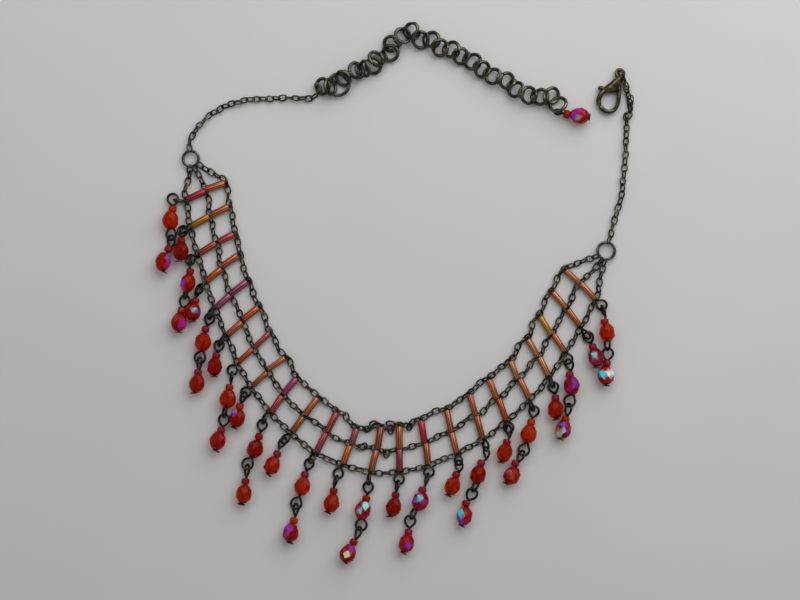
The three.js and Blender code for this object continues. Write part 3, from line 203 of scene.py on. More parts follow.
OUTER_CHAIN = {
    "start": [(-71.77, 44.38), (-72.01, 41.82), (-72.54, 39.38), (-73.41, 37.10), (-73.83, 34.82)],
    "spans": [
        [(-72.61, 30.27), (-72.43, 27.65), (-72.19, 25.02)],
        [(-71.14, 20.30), (-70.44, 17.67), (-69.74, 15.22)],
        [(-68.34, 10.67), (-67.64, 8.22), (-67.11, 5.77)],
        [(-65.54, 1.36), (-64.66, -1.22), (-63.96, -3.54)],
        [(-61.79, -8.09), (-60.99, -10.54), (-60.29, -12.77)],
        [(-58.01, -17.32), (-56.96, -19.77), (-56.19, -22.44)],
        [(-53.81, -27.12), (-52.62, -29.16), (-51.64, -31.04)],
        [(-48.70, -35.17), (-47.16, -37.27), (-45.62, -39.51)],
        [(-42.26, -43.57), (-40.16, -45.46), (-38.41, -47.21)],
        [(-34.56, -50.64), (-32.53, -52.32), (-30.36, -54.21)],
        [(-25.81, -56.87), (-23.50, -58.06), (-21.47, -58.97)],
        [(-16.50, -60.51), (-13.91, -61.35), (-11.25, -61.99)],
        [(-6.21, -62.82), (-3.41, -62.69), (-0.96, -62.34)],
        [(3.76, -61.84), (6.32, -61.35), (8.84, -60.79)],
        [(14.09, -58.91), (16.54, -57.92), (18.99, -57.01)],
        [(24.03, -54.56), (25.99, -53.38), (28.23, -52.26)],
        [(32.92, -49.45), (34.95, -47.70), (36.84, -45.95)],
        [(40.83, -42.88), (42.93, -41.05), (44.82, -38.95)],
        [(48.53, -35.52), (50.28, -33.77), (51.61, -31.54)],
        [(55.25, -27.12), (56.65, -24.96), (57.91, -22.51)],
        [(60.85, -18.51), (62.04, -16.56), (63.37, -14.17)],
        [(66.17, -9.76), (67.22, -7.31), (68.13, -4.94)],
    ],
    "end": [(70.79, -0.24), (71.00, 1.92), (71.14, 4.20), (71.84, 6.47), (72.54, 9.62)],
}

# Slack links that have ridden up beside the others: x, y, heading in degrees, length, width, lean in radians, height.
INNER_LOOSE = [(-7.79, -45.54, 15, 3.3, 2.5, 0.22, 0.8), (-1.84, -45.46, -8, 3.6, 2.3, 0.25, 0.8), (-1.66, -47.91, 80, 3.1, 2.4, 0.50, 0.9), (-9.54, -47.60, 35, 3.1, 2.4, 0.90, 1.2), (4.81, -46.59, 70, 3.1, 2.5, 0.35, 0.9)]
MIDDLE_LOOSE = [(-11.25, -53.51, 40, 3.4, 2.7, 0.30, 1.1), (-3.20, -56.04, 75, 3.2, 2.6, 0.25, 0.8), (-4.64, -54.95, -20, 3.1, 2.3, 0.80, 1.6)]
LEFT_LOOSE = []
RIGHT_LOOSE = [(78.80, 76.19, -62, 3.6, 2.2, 0.75, 2.3), (79.40, 74.90, -66, 3.4, 2.2, 0.90, 1.6), (80.38, 72.45, -70, 3.3, 2.4, 0.30, 1.9), (82.06, 67.86, -75, 3.3, 2.5, 0.30, 1.9), (81.88, 64.92, -80, 3.3, 2.4, 0.80, 1.8), (80.38, 61.77, -100, 3.2, 2.4, 0.50, 1.9)]

# Neck chains, away from their jump rings.
LEFT_NECK = [
    (-72.15, 50.89), (-71.91, 53.83), (-70.89, 55.30), (-69.91, 57.02), (-68.93, 58.48), (-67.22, 60.20), (-64.52, 62.89), (-62.07, 63.87),
    (-60.11, 65.38), (-58.40, 65.87), (-56.19, 66.61), (-54.34, 66.85), (-52.48, 67.83), (-50.52, 67.58), (-48.32, 68.07), (-46.11, 68.07),
    (-43.87, 68.07), (-41.42, 68.25), (-39.18, 68.25), (-36.94, 68.36), (-34.70, 68.25), (-32.50, 68.36), (-30.26, 68.04), (-28.68, 68.46),
    (-27.56, 69.61),
]
RIGHT_NECK = [
    (74.60, 19.14), (75.02, 20.12), (75.62, 22.54), (76.04, 24.53), (76.84, 27.16), (77.65, 29.36), (78.24, 31.78), (78.84, 34.19),
    (79.15, 36.61), (79.43, 38.99), (79.64, 41.16), (80.03, 43.29), (80.03, 45.71), (80.45, 48.33), (80.24, 50.33), (80.45, 52.74),
    (80.45, 55.16), (80.76, 57.36), (80.45, 59.99), (81.25, 61.91), (82.06, 64.61), (81.71, 67.55), (80.94, 70.00), (80.52, 72.27),
    (79.40, 74.55),
]

# Extender rings in order: middle, kind, and how long it looks along the chain and across it from above.
EXTENDER = [
    {"at": (-26.93, 71.50), "kind": "small", "along": 2.80, "across": 3.85},
    {"at": (-25.46, 72.27), "kind": "main", "along": 5.60, "across": 5.42},
    {"at": (-22.80, 72.06), "kind": "main", "along": 4.38, "across": 5.07},
    {"at": (-20.00, 72.91), "kind": "large", "along": 8.75, "across": 8.75},
    {"at": (-18.32, 75.00), "kind": "main", "along": 4.90, "across": 5.25},
    {"at": (-17.27, 75.98), "kind": "small", "along": 3.50, "across": 4.55},
    {"at": (-13.77, 77.80), "kind": "main", "along": 5.60, "across": 6.47},
    {"at": (-13.07, 77.80), "kind": "small", "along": 3.50, "across": 4.90},
    {"at": (-10.62, 78.36), "kind": "main", "along": 3.15, "across": 4.90},
    {"at": (-7.75, 79.48), "kind": "main", "along": 5.95, "across": 6.30},
    {"at": (-6.84, 81.86), "kind": "main", "along": 5.25, "across": 5.60},
    {"at": (-4.04, 82.63), "kind": "small", "along": 3.15, "across": 4.90},
    {"at": (-1.87, 83.97), "kind": "main", "along": 6.30, "across": 6.12},
    {"at": (-1.45, 87.18), "kind": "main", "along": 5.77, "across": 6.12},
    {"at": (0.58, 88.09), "kind": "small", "along": 2.80, "across": 4.55},
    {"at": (2.40, 89.98), "kind": "main", "along": 5.77, "across": 6.30},
    {"at": (3.80, 90.96), "kind": "small", "along": 2.80, "across": 4.55},
    {"at": (5.41, 91.80), "kind": "main", "along": 5.42, "across": 6.12},
    {"at": (6.95, 89.98), "kind": "small", "along": 3.15, "across": 3.67},
    {"at": (8.70, 88.52), "kind": "main", "along": 6.30, "across": 6.47},
    {"at": (10.52, 88.58), "kind": "small", "along": 3.15, "across": 4.90},
    {"at": (12.55, 88.66), "kind": "main", "along": 5.95, "across": 5.95},
    {"at": (13.95, 87.18), "kind": "small", "along": 3.15, "across": 3.32},
    {"at": (15.56, 85.72), "kind": "main", "along": 5.95, "across": 6.47},
    {"at": (17.38, 85.16), "kind": "small", "along": 2.80, "across": 4.55},
    {"at": (19.62, 85.16), "kind": "main", "along": 5.95, "across": 6.12},
    {"at": (20.95, 83.75), "kind": "small", "along": 3.85, "across": 3.50},
    {"at": (22.70, 82.84), "kind": "main", "along": 5.95, "across": 5.60},
    {"at": (24.59, 82.28), "kind": "small", "along": 2.80, "across": 3.67},
    {"at": (26.97, 80.88), "kind": "main", "along": 5.95, "across": 6.47},
    {"at": (28.37, 79.69), "kind": "small", "along": 3.15, "across": 3.32},
    {"at": (30.19, 78.16), "kind": "main", "along": 5.42, "across": 5.95},
    {"at": (31.73, 77.17), "kind": "small", "along": 2.80, "across": 3.50},
    {"at": (34.04, 75.77), "kind": "main", "along": 5.60, "across": 6.30},
    {"at": (36.14, 75.07), "kind": "small", "along": 2.62, "across": 4.02},
    {"at": (38.73, 74.30), "kind": "main", "along": 5.77, "across": 6.30},
    {"at": (40.27, 73.11), "kind": "small", "along": 3.15, "across": 3.32},
    {"at": (41.95, 71.16), "kind": "main", "along": 5.42, "across": 6.12},
    {"at": (43.84, 70.31), "kind": "small", "along": 2.80, "across": 3.85},
    {"at": (46.36, 69.19), "kind": "main", "along": 5.95, "across": 6.65},
    {"at": (48.25, 68.98), "kind": "small", "along": 2.80, "across": 4.20},
    {"at": (50.63, 68.56), "kind": "main", "along": 5.60, "across": 5.77},
    {"at": (52.45, 67.86), "kind": "small", "along": 3.50, "across": 5.25},
    {"at": (54.48, 69.05), "kind": "main", "along": 5.60, "across": 6.12},
    {"at": (56.65, 65.91), "kind": "main", "along": 5.60, "across": 6.65},
]
EXTENDER_DROP = {"loop": (56.65, 63.31), "seed": (59.45, 62.61), "bead": (64.07, 61.98), "head": (67.29, 61.35), "spots": [(-0.4, 1.9, 1.2, 'magenta', 0.8), (-1.9, -0.2, 1.3, 'violet', 0.85), (-0.8, -0.9, 1.2, 'ice', 0.6), (0.9, 0.9, 1.0, 'plum', 0.6)]}

# Clasp castings along their middle lines: (x, y, width, thickness).
CLASP_BODY = [
    [(77.58, 72.27, 2.10, 2.40), (77.93, 70.73, 1.89, 2.30), (77.89, 69.27, 1.65, 2.20), (77.79, 67.66, 1.47, 2.10), (77.51, 66.11, 1.43, 2.00), (76.74, 64.64, 1.47, 1.90), (75.55, 63.66, 1.54, 1.90), (74.22, 63.45, 1.57, 1.90), (72.89, 63.87, 1.61, 1.90), (71.80, 64.75, 1.65, 1.80), (71.59, 65.06, 1.65, 1.80)],
]
# The clasp's cushion-shaped body: its outline and the line it is rounded about.
CLASP_OUTLINE = [(78.07, 75.84), (78.77, 75.42), (78.94, 74.52), (78.94, 73.25), (78.73, 72.10), (78.10, 71.08), (77.16, 70.42), (76.04, 70.03), (74.78, 69.89), (73.59, 70.03), (72.68, 70.52), (72.29, 71.22), (72.75, 72.03), (73.87, 72.97), (74.99, 73.88), (76.00, 74.79), (77.09, 75.63)]
CLASP_SPINE = [(77.93, 74.79), (75.27, 71.72)]
CLASP_LEVER = [
    [(73.17, 70.80, 1.89, 1.90), (72.15, 70.14, 1.78, 2.00), (71.28, 68.91, 1.82, 2.00), (70.82, 67.38, 1.85, 1.90), (70.96, 66.22, 1.78, 1.80)],
    [(73.10, 71.08, 1.61, 1.80), (72.12, 71.61, 1.47, 1.80), (71.35, 71.75, 1.65, 1.90)],
]
CLASP_EYE = (78.28, 76.82)

# ---------------------------------------------------------------- mesh building
class Shape:
    """Vertices and faces of one piece, in mm, with a material number, a smooth flag,
    a UV per corner, and a tint and a coat (its reflected colour painted in) for each face (a list gives one per
    corner)."""

    def __init__(self):
        self.v, self.f, self.mat, self.smooth, self.uv, self.tint, self.coat_and_reflection = [], [], [], [], [], [], []
        self.n = 0

    def add(self, verts, faces, mat=0, smooth=True, uvs=None, tint=(1, 1, 1, 1), coats_and_reflections=None, tints=None):
        self.v.append(np.asarray(verts, float))
        for k, face in enumerate(faces):
            self.f.append([i + self.n for i in face])
            self.mat.append(mat)
            self.smooth.append(smooth)
            self.uv.append(uvs[k] if uvs is not None else [(0.0, 0.0)] * len(face))
            self.tint.append(tints[k] if tints is not None else tint)
            self.coat_and_reflection.append(coats_and_reflections[k] if coats_and_reflections is not None else (0, 0, 0, 0))
        self.n += len(verts)

    def build(self, name, materials, body, nodes=(), slot=None):
        mesh = bpy.data.meshes.new(name)
        points = np.clip(np.concatenate(self.v) * 0.001, CAD_BOX[0], CAD_BOX[1])
        mesh.from_pydata(points.tolist(), [], self.f)
        for m in materials:
            mesh.materials.append(m)
        mesh.polygons.foreach_set("material_index", self.mat)
        mesh.polygons.foreach_set("use_smooth", self.smooth)
        layer = mesh.uv_layers.new(name="UVMap")
        flat = [c for face in self.uv for uv in face for c in uv]
        layer.data.foreach_set("uv", flat)
        for key, rows in (("tint", self.tint), ("coat_and_reflection", self.coat_and_reflection)):
            att = mesh.color_attributes.new(key, "FLOAT_COLOR", "CORNER")
            flat = []
            for row, face in zip(rows, self.f):
                for k in range(len(face)):
                    flat.extend(row[k] if isinstance(row, list) else row)
            att.data.foreach_set("color", flat)
        mesh.validate()
        mesh.update()
        obj = bpy.data.objects.new(name, mesh)
        bpy.context.scene.collection.objects.link(obj)
        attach(obj, body)
        if nodes:
            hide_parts(*nodes)
        return obj


def swept(path, radius, sides=8, closed=False, squash=1.0, flat_dir=None):
    """A wire along a path of points. radius may be one number or one per point."""
    path = np.asarray(path, float)
    n = len(path)
    radii = np.full(n, radius) if np.isscalar(radius) else np.asarray(radius, float)
    nxt = np.roll(path, -1, 0) if closed else np.vstack([path[1:], path[-1:]])
    prv = np.roll(path, 1, 0) if closed else np.vstack([path[:1], path[:-1]])
    tang = np.array([unit(t) for t in nxt - prv])
    seed = flat_dir if flat_dir is not None else (UP if abs(tang[0][2]) < 0.9 else np.array([1.0, 0, 0]))
    normal = unit(seed - tang[0] * np.dot(seed, tang[0]))
    verts, uvs_u = [], []
    normals = []
    for i in range(n):
        if i:
            normal = unit(normal - tang[i] * np.dot(normal, tang[i]))
        normals.append(normal)
    if closed:  # spread the twist that is left at the join
        last = unit(normals[-1] - tang[0] * np.dot(normals[-1], tang[0]))
        twist = math.atan2(np.dot(np.cross(last, normals[0]), tang[0]), np.dot(last, normals[0]))
        normals = [turned_about(normals[i], tang[i], twist * i / n) for i in range(n)]
    for i in range(n):
        side = np.cross(tang[i], normals[i])
        for k in range(sides):
            a = 2 * math.pi * k / sides
            verts.append(path[i] + radii[i] * (math.cos(a) * normals[i] * squash + math.sin(a) * side))
    faces, uvs = [], []
    rings = n if closed else n - 1
    for i in range(rings):
        j = (i + 1) % n
        for k in range(sides):
            l = (k + 1) % sides
            faces.append([i * sides + k, i * sides + l, j * sides + l, j * sides + k])
            u0, u1, v0, v1 = k / sides, (k + 1) / sides, i / rings, (i + 1) / rings
            uvs.append([(u0, v0), (u1, v0), (u1, v1), (u0, v1)])
    if not closed:
        faces.append([k for k in range(sides)][::-1])
        uvs.append([(0.5, 0.0)] * sides)
        faces.append([(n - 1) * sides + k for k in range(sides)])
        uvs.append([(0.5, 1.0)] * sides)
    return verts, faces, uvs


def ring_path(centre, x, y, rx, ry, steps=24, start=0.0, sweep=2 * math.pi, power=2.0):
    """Points of an oval about centre in the plane of x and y."""
    out = []
    for i in range(steps):
        a = start + sweep * i / (steps if abs(sweep) > 6.28 else steps - 1)
        c, s = math.cos(a), math.sin(a)
        cx = math.copysign(abs(c) ** (2 / power), c)
        sy = math.copysign(abs(s) ** (2 / power), s)
        out.append(centre + x * rx * cx + y * ry * sy)
    return out


def lathe(profile, centre, axis, sides=16, phase=0.0, ref=None):
    """profile rows are (radius, height along axis). A radius of 0 closes the end."""
    axis = unit(axis)
    ref = UP if ref is None else ref
    x = unit(ref - axis * np.dot(ref, axis))
    y = np.cross(axis, x)
    verts, faces, uvs, rows = [], [], [], []
    for r, h in profile:
        if r <= 1e-9:
            rows.append([len(verts)])
            verts.append(centre + axis * h)
        else:
            rows.append(list(range(len(verts), len(verts) + sides)))
            for k in range(sides):
                a = 2 * math.pi * (k + phase) / sides
                verts.append(centre + axis * h + r * (math.cos(a) * x + math.sin(a) * y))
    total = len(profile) - 1
    for i in range(total):
        a, b = rows[i], rows[i + 1]
        for k in range(sides):
            l = (k + 1) % sides
            u0, u1, v0, v1 = k / sides, (k + 1) / sides, i / total, (i + 1) / total
            if len(a) == 1 and len(b) == 1:
                continue
            if len(a) == 1:
                faces.append([a[0], b[l], b[k]][::-1]); uvs.append([(u0, v0), (u1, v1), (u0, v1)][::-1])
            elif len(b) == 1:
                faces.append([a[k], a[l], b[0]]); uvs.append([(u0, v0), (u1, v0), (u0, v1)])
            else:
                faces.append([a[k], a[l], b[l], b[k]]); uvs.append([(u0, v0), (u1, v0), (u1, v1), (u0, v1)])
    return verts, faces, uvs


def resample(points, step):
    """Points every step mm along a smooth curve through the given points."""
    pts = np.asarray(points, float)
    dense = []
    for i in range(len(pts) - 1):
        p0 = pts[max(i - 1, 0)]; p1 = pts[i]; p2 = pts[i + 1]; p3 = pts[min(i + 2, len(pts) - 1)]
        for t in np.linspace(0, 1, 24, endpoint=False):
            dense.append(0.5 * ((2 * p1) + (p2 - p0) * t + (2 * p0 - 5 * p1 + 4 * p2 - p3) * t * t + (3 * p1 - p0 - 3 * p2 + p3) * t ** 3))
    dense.append(pts[-1])
    dense = np.array(dense)
    cum = np.concatenate([[0], np.cumsum(np.linalg.norm(np.diff(dense, axis=0), axis=1))])
    count = max(2, int(round(cum[-1] / step)) + 1)
    at = np.linspace(0, cum[-1], count)
    return np.stack([np.interp(at, cum, dense[:, k]) for k in range(3)], 1), cum[-1]


# ------------------------------------------------------------------- materials
def new_material(name):
    mat = bpy.data.materials.new(name)
    mat.use_nodes = True
    tree = mat.node_tree
    tree.nodes.clear()
    out = tree.nodes.new("ShaderNodeOutputMaterial")
    bsdf = tree.nodes.new("ShaderNodeBsdfPrincipled")
    tree.links.new(bsdf.outputs["BSDF"], out.inputs["Surface"])
    return mat, tree, bsdf


def ramp(tree, source, stops):
    node = tree.nodes.new("ShaderNodeValToRGB")
    while len(node.color_ramp.elements) > 1:
        node.color_ramp.elements.remove(node.color_ramp.elements[-1])
    node.color_ramp.elements[0].position = stops[0][0]
    node.color_ramp.elements[0].color = (*stops[0][1], 1)
    for pos, colour in stops[1:]:
        node.color_ramp.elements.new(pos).color = (*colour, 1)
    tree.links.new(source, node.inputs["Fac"])
    return node.outputs["Color"]


def noise(tree, scale, detail=3.0, rough=0.55, stretch=None, coords="Object"):
    tc = tree.nodes.new("ShaderNodeTexCoord")
    node = tree.nodes.new("ShaderNodeTexNoise")
    node.inputs["Scale"].default_value = scale
    node.inputs["Detail"].default_value = detail
    node.inputs["Roughness"].default_value = rough
    source = tc.outputs[coords]
    if stretch:
        mp = tree.nodes.new("ShaderNodeMapping")
        mp.inputs["Scale"].default_value = stretch
        tree.links.new(source, mp.inputs["Vector"])
        source = mp.outputs["Vector"]
    tree.links.new(source, node.inputs["Vector"])
    return node.outputs["Fac"]


def grey(tree, source, low, high):
    node = tree.nodes.new("ShaderNodeMapRange")
    node.inputs["To Min"].default_value = low
    node.inputs["To Max"].default_value = high
    tree.links.new(source, node.inputs["Value"])
    return node.outputs["Result"]


def bump(tree, bsdf, source, strength, distance):
    node = tree.nodes.new("ShaderNodeBump")
    node.inputs["Strength"].default_value = strength
    node.inputs["Distance"].default_value = distance
    tree.links.new(source, node.inputs["Height"])
    tree.links.new(node.outputs["Normal"], bsdf.inputs["Normal"])


def mixed(tree, fac, a, b, kind="MIX"):
    node = tree.nodes.new("ShaderNodeMix")
    node.data_type = "RGBA"
    node.blend_type = kind
    for sock, value in ((0, fac), (6, a), (7, b)):
        if isinstance(value, (int, float)):
            node.inputs[sock].default_value = value
        elif isinstance(value, tuple):
            node.inputs[sock].default_value = (*value, 1)
        else:
            tree.links.new(value, node.inputs[sock])
    return node.outputs[2]


def metal(name, dark, mid, light, rough=(0.26, 0.46)):
    """Antiqued brass: dark in patches, rubbed to an olive gold in others."""
    mat, tree, bsdf = new_material(name)
    patches = noise(tree, 420, 3, 0.55)
    fine = noise(tree, 3600, 2, 0.5)
    tree.links.new(ramp(tree, patches, [(0.30, dark), (0.50, mid), (0.70, light)]), bsdf.inputs["Base Color"])
    bsdf.inputs["Metallic"].default_value = 1.0
    tree.links.new(grey(tree, fine, *rough), bsdf.inputs["Roughness"])
    bump(tree, bsdf, fine, 0.12, 0.00001)
    return mat


METAL = metal("dark_brass", (0.018, 0.014, 0.010), (0.056, 0.047, 0.033), (0.18, 0.158, 0.110), (0.22, 0.42))
METAL_RING = metal("dark_brass_ring", (0.036, 0.031, 0.025), (0.090, 0.079, 0.062), (0.205, 0.182, 0.142), (0.26, 0.40))
METAL_PIN = metal("dark_brass_pin", (0.012, 0.010, 0.008), (0.036, 0.031, 0.023), (0.11, 0.097, 0.070))
METAL_CLASP = metal("dark_brass_clasp", (0.028, 0.022, 0.012), (0.082, 0.068, 0.044), (0.24, 0.208, 0.143), (0.13, 0.22))


def bead_glass(name, transmission, rough):
    """Red pressed glass with colour from the bead and, on some facets, a bright coating whose reflected colours are
    painted in.
    """
    mat, tree, bsdf = new_material(name)
    tint = tree.nodes.new("ShaderNodeAttribute"); tint.attribute_name = "tint"
    coat_and_reflection = tree.nodes.new("ShaderNodeAttribute"); coat_and_reflection.attribute_name = "coat_and_reflection"
    cloud = noise(tree, 520, 3, 0.6)
    body = mixed(tree, 1.0, tint.outputs["Color"], ramp(tree, cloud, [(0.3, (0.72, 0.66, 0.66)), (0.55, (1.0, 1.0, 1.0)), (0.8, (1.0, 0.95, 0.92))]), "MULTIPLY")
    # Painted light: by view angle, the glass is made brighter and more orange where it faces the view (a painted glow)
    # and darker towards its outline (painted shade).
    facing = tree.nodes.new("ShaderNodeLayerWeight")
    facing.inputs["Blend"].default_value = 0.5
    glow_and_edge_shade = ramp(tree, facing.outputs["Facing"], [(0.0, (1.16, 2.7, 0.8)), (0.30, (1.04, 1.5, 0.9)), (0.62, (0.78, 0.55, 0.8)), (0.95, (0.46, 0.3, 0.8))])
    body = mixed(tree, 1.0, body, glow_and_edge_shade, "MULTIPLY")
    # The coated facets' colour is the coating's reflection, painted in and varied by noise.
    drift = ramp(tree, noise(tree, 900, 2, 0.5), [(0.35, (0.66, 0.84, 1.05)), (0.52, (1.0, 1.0, 1.0)), (0.68, (1.1, 1.04, 0.90))])
    film_and_reflection_colour = mixed(tree, 1.0, coat_and_reflection.outputs["Color"], drift, "MULTIPLY")
    tree.links.new(mixed(tree, coat_and_reflection.outputs["Alpha"], body, film_and_reflection_colour), bsdf.inputs["Base Color"])
    tree.links.new(grey(tree, coat_and_reflection.outputs["Alpha"], transmission, 0.05), bsdf.inputs["Transmission Weight"])
    bsdf.inputs["IOR"].default_value = 1.34
    fine = noise(tree, 2400, 2, 0.5)
    tree.links.new(grey(tree, fine, rough * 0.6, rough * 1.6), bsdf.inputs["Roughness"])
    bsdf.inputs["Specular IOR Level"].default_value = 0.05
    bsdf.inputs["Specular Tint"].default_value = (1.0, 0.50, 0.42, 1)
    return mat


BEAD = bead_glass("red_glass", 0.74, 0.13)
BEAD_AB = bead_glass("red_glass_coated", 0.68, 0.11)
SEED_GLASS = bead_glass("seed_glass", 0.60, 0.10)
SEED_AB = bead_glass("seed_glass_coated", 0.58, 0.10)


def math_node(tree, kind, a, b=None):
    node = tree.nodes.new("ShaderNodeMath")
    node.operation = kind
    for k, value in enumerate((a, b)):
        if value is None:
            continue
        if isinstance(value, (int, float)):
            node.inputs[k].default_value = value
        else:
            tree.links.new(value, node.inputs[k])
    return node.outputs[0]


def bugle_glass():
    """A glass tube over a bright lining: fine dark lines run along it, and UV u goes round it."""
    mat, tree, bsdf = new_material("bugle_glass")
    tint = tree.nodes.new("ShaderNodeAttribute"); tint.attribute_name = "tint"
    uv = tree.nodes.new("ShaderNodeUVMap"); uv.uv_map = "UVMap"
    sep = tree.nodes.new("ShaderNodeSeparateXYZ")
    tree.links.new(uv.outputs["UV"], sep.inputs["Vector"])
    streak = noise(tree, 1.0, 3, 0.6, stretch=(22, 0.25, 1), coords="UV")
    wander = noise(tree, 1.0, 2, 0.5, stretch=(5, 0.06, 1), coords="UV")
    turns = math_node(tree, "ADD", math_node(tree, "MULTIPLY", sep.outputs["X"], 2 * math.pi * 10), math_node(tree, "MULTIPLY", wander, 9.0))
    lines = grey(tree, math_node(tree, "ADD", math_node(tree, "MULTIPLY", math_node(tree, "SINE", turns), 0.5), 0.5), 0.0, 1.0)
    wave = ramp(tree, lines, [(0.0, (0.30, 0.24, 0.22)), (0.22, (0.56, 0.49, 0.46)), (0.55, (0.98, 0.97, 0.94)), (1.0, (1.45, 1.48, 1.30))])
    streaks = ramp(tree, streak, [(0.34, (0.66, 0.56, 0.54)), (0.48, (1.0, 1.0, 1.0)), (0.66, (1.20, 1.12, 1.02))])
    # Painted shade: by view angle, the tube's colour is darkened towards its outline.
    facing = tree.nodes.new("ShaderNodeLayerWeight")
    facing.inputs["Blend"].default_value = 0.5
    edge = ramp(tree, facing.outputs["Facing"], [(0.0, (1.0, 1.02, 0.98)), (0.42, (0.96, 0.88, 0.96)), (0.72, (0.64, 0.46, 0.60)), (0.95, (0.34, 0.20, 0.28))])
    colour = mixed(tree, 1.0, tint.outputs["Color"], wave, "MULTIPLY")
    colour = mixed(tree, 1.0, colour, streaks, "MULTIPLY")
    colour = mixed(tree, 1.0, colour, edge, "MULTIPLY")
    tree.links.new(colour, bsdf.inputs["Base Color"])
    bsdf.inputs["Metallic"].default_value = 0.45
    tree.links.new(grey(tree, streak, 0.26, 0.46), bsdf.inputs["Roughness"])
    bsdf.inputs["Specular IOR Level"].default_value = 0.3
    bsdf.inputs["Coat Weight"].default_value = 0.22
    bsdf.inputs["Coat Roughness"].default_value = 0.12
    bsdf.inputs["Transmission Weight"].default_value = 0.10
    bsdf.inputs["IOR"].default_value = 1.5
    return mat


BUGLE_GLASS = bugle_glass()
LIGHT = {}

# ----------------------------------------------------------------------- chains
def link(shape, centre, along, across, length, width, wire, sides=8, steps=14, tint=(1, 1, 1, 1), bend=0.0):
    """One oval link: straight sides with round ends."""
    rx, ry = (length - wire) / 2, (width - wire) / 2
    path = ring_path(centre, along, across, rx, ry, steps, power=2.35)
    verts, faces, uvs = swept(path, wire / 2, sides, closed=True)
    shape.add(verts, faces, 0, True, uvs, tint)


def chain(name, node, route, pitch, length, width, wire, height, rng, steps=14, sides=8, first=0, loose=()):
    """Links along a route, every second one turned on edge, none of them quite square. loose
    rows are slack links: (x, y, heading in degrees, length, width, lean, height)."""
    shape = Shape()
    points, total = resample(route, pitch)
    n = len(points)
    for i in range(n - 1):
        a, b = points[i], points[i + 1]
        mid = (a + b) / 2
        t = unit(b - a)
        t = unit(turned_about(t, UP, rng.uniform(-0.20, 0.20)))
        side = unit(np.cross(UP, t))
        edge = (i + first) % 2
        lean = (rng.uniform(0.78, 1.22) if edge else rng.uniform(0.0, 0.42)) * (1 if rng.random() < 0.5 else -1)
        across = turned_about(side, t, lean)
        low = abs(across[2]) * (width - wire) / 2 + wire / 2
        mid[2] = max(height + rng.uniform(-0.05, 0.05), low)
        mid = mid + side * rng.uniform(-0.10, 0.10)
        link(shape, mid, t, across, length * rng.uniform(0.95, 1.04), width * rng.uniform(0.93, 1.05), wire, sides, steps)
    for x, y, heading, long, wide, lean, z in loose:
        t = np.array([math.cos(math.radians(heading)), math.sin(math.radians(heading)), 0.0])
        across = turned_about(np.cross(UP, t), t, lean)
        low = abs(across[2]) * (wide - wire) / 2 + wire / 2
        link(shape, P((x, y), max(z, low)), t, across, long, wide, wire, sides, steps)
    return shape.build(name, [METAL], "necklace", [node], "dark_brass")


def rim_point(ring, angle, z):
    """A point on the middle of a jump ring's wire."""
    (cx, cy), outer, wire = ring
    r = (outer - wire) / 2
    return P((cx + r * math.cos(math.radians(angle)), cy + r * math.sin(math.radians(angle))), z)

def bib_route(plan, crossing, angles, height):
    leave, arrive = angles
    row = [rim_point(LEFT_RING, leave, 1.3)]
    row += [P(p, height) for p in plan["start"]]
    for i, rung in enumerate(RUNGS):
        row.append(P(rung[crossing], height))
        if i < len(plan["spans"]):
            row += [P(p, height) for p in plan["spans"][i]]
    row += [P(p, height) for p in plan["end"]]
    row.append(rim_point(RIGHT_RING, arrive, 1.3))
    return row


rng = random.Random(7)
LINK = dict(pitch=2.36, length=3.50, width=2.45, wire=0.60, height=1.0)
chain("inner_chain_links", "inner_chain", bib_route(INNER_CHAIN, "inner", (-36, -150), 1.0), rng=rng, loose=INNER_LOOSE, **LINK)
chain("middle_chain_links", "middle_chain", bib_route(MIDDLE_CHAIN, "middle", (-67, -121), 1.0), rng=rng, first=1, loose=MIDDLE_LOOSE, **LINK)
chain("outer_chain_links", "outer_chain", bib_route(OUTER_CHAIN, "outer", (-98, -93), 1.0), rng=rng, **LINK)

NECK = dict(pitch=2.33, length=3.45, width=2.40, wire=0.57, height=1.05)
left_start = rim_point(LEFT_RING, math.degrees(math.atan2(LEFT_NECK[0][1] - LEFT_RING[0][1], LEFT_NECK[0][0] - LEFT_RING[0][0])), 1.3)
right_start = rim_point(RIGHT_RING, math.degrees(math.atan2(RIGHT_NECK[0][1] - RIGHT_RING[0][1], RIGHT_NECK[0][0] - RIGHT_RING[0][0])), 1.3)
chain("left_neck_links", "left_neck_chain", [left_start] + [P(p, 1.05) for p in LEFT_NECK], rng=rng, loose=LEFT_LOOSE, **NECK)
chain("right_neck_links", "right_neck_chain", [right_start] + [P(p, 1.05) for p in RIGHT_NECK], rng=rng, first=1, loose=RIGHT_LOOSE, **NECK)


def jump_ring(name, node, ring, split):
    """A round wire ring, cut once, its two ends a hair apart."""
    centre, outer, wire = ring
    shape = Shape()
    r = (outer - wire) / 2
    a0 = math.radians(split + 2.2)
    path = ring_path(P(centre, 1.3), np.array([1.0, 0, 0.03]), np.array([0, 1.0, -0.02]), r, r, 56, a0, 2 * math.pi - math.radians(4.4) - 1e-3)
    path = [P(centre, 1.3) + np.array([r * math.cos(a0 + t), r * math.sin(a0 + t), 0.0]) for t in np.linspace(0, 2 * math.pi - math.radians(4.4), 57)]
    verts, faces, uvs = swept(path, wire / 2, 14)
    shape.add(verts, faces, 0, True, uvs)
    return shape.build(name, [METAL_RING], "necklace", [node], "dark_brass")


jump_ring("left_jump_ring", "left_ring", LEFT_RING, 95)
jump_ring("right_jump_ring", "right_ring", RIGHT_RING, 80)


# ------------------------------------------------------------------ wire loops
WIRE = 0.88  # pin wire


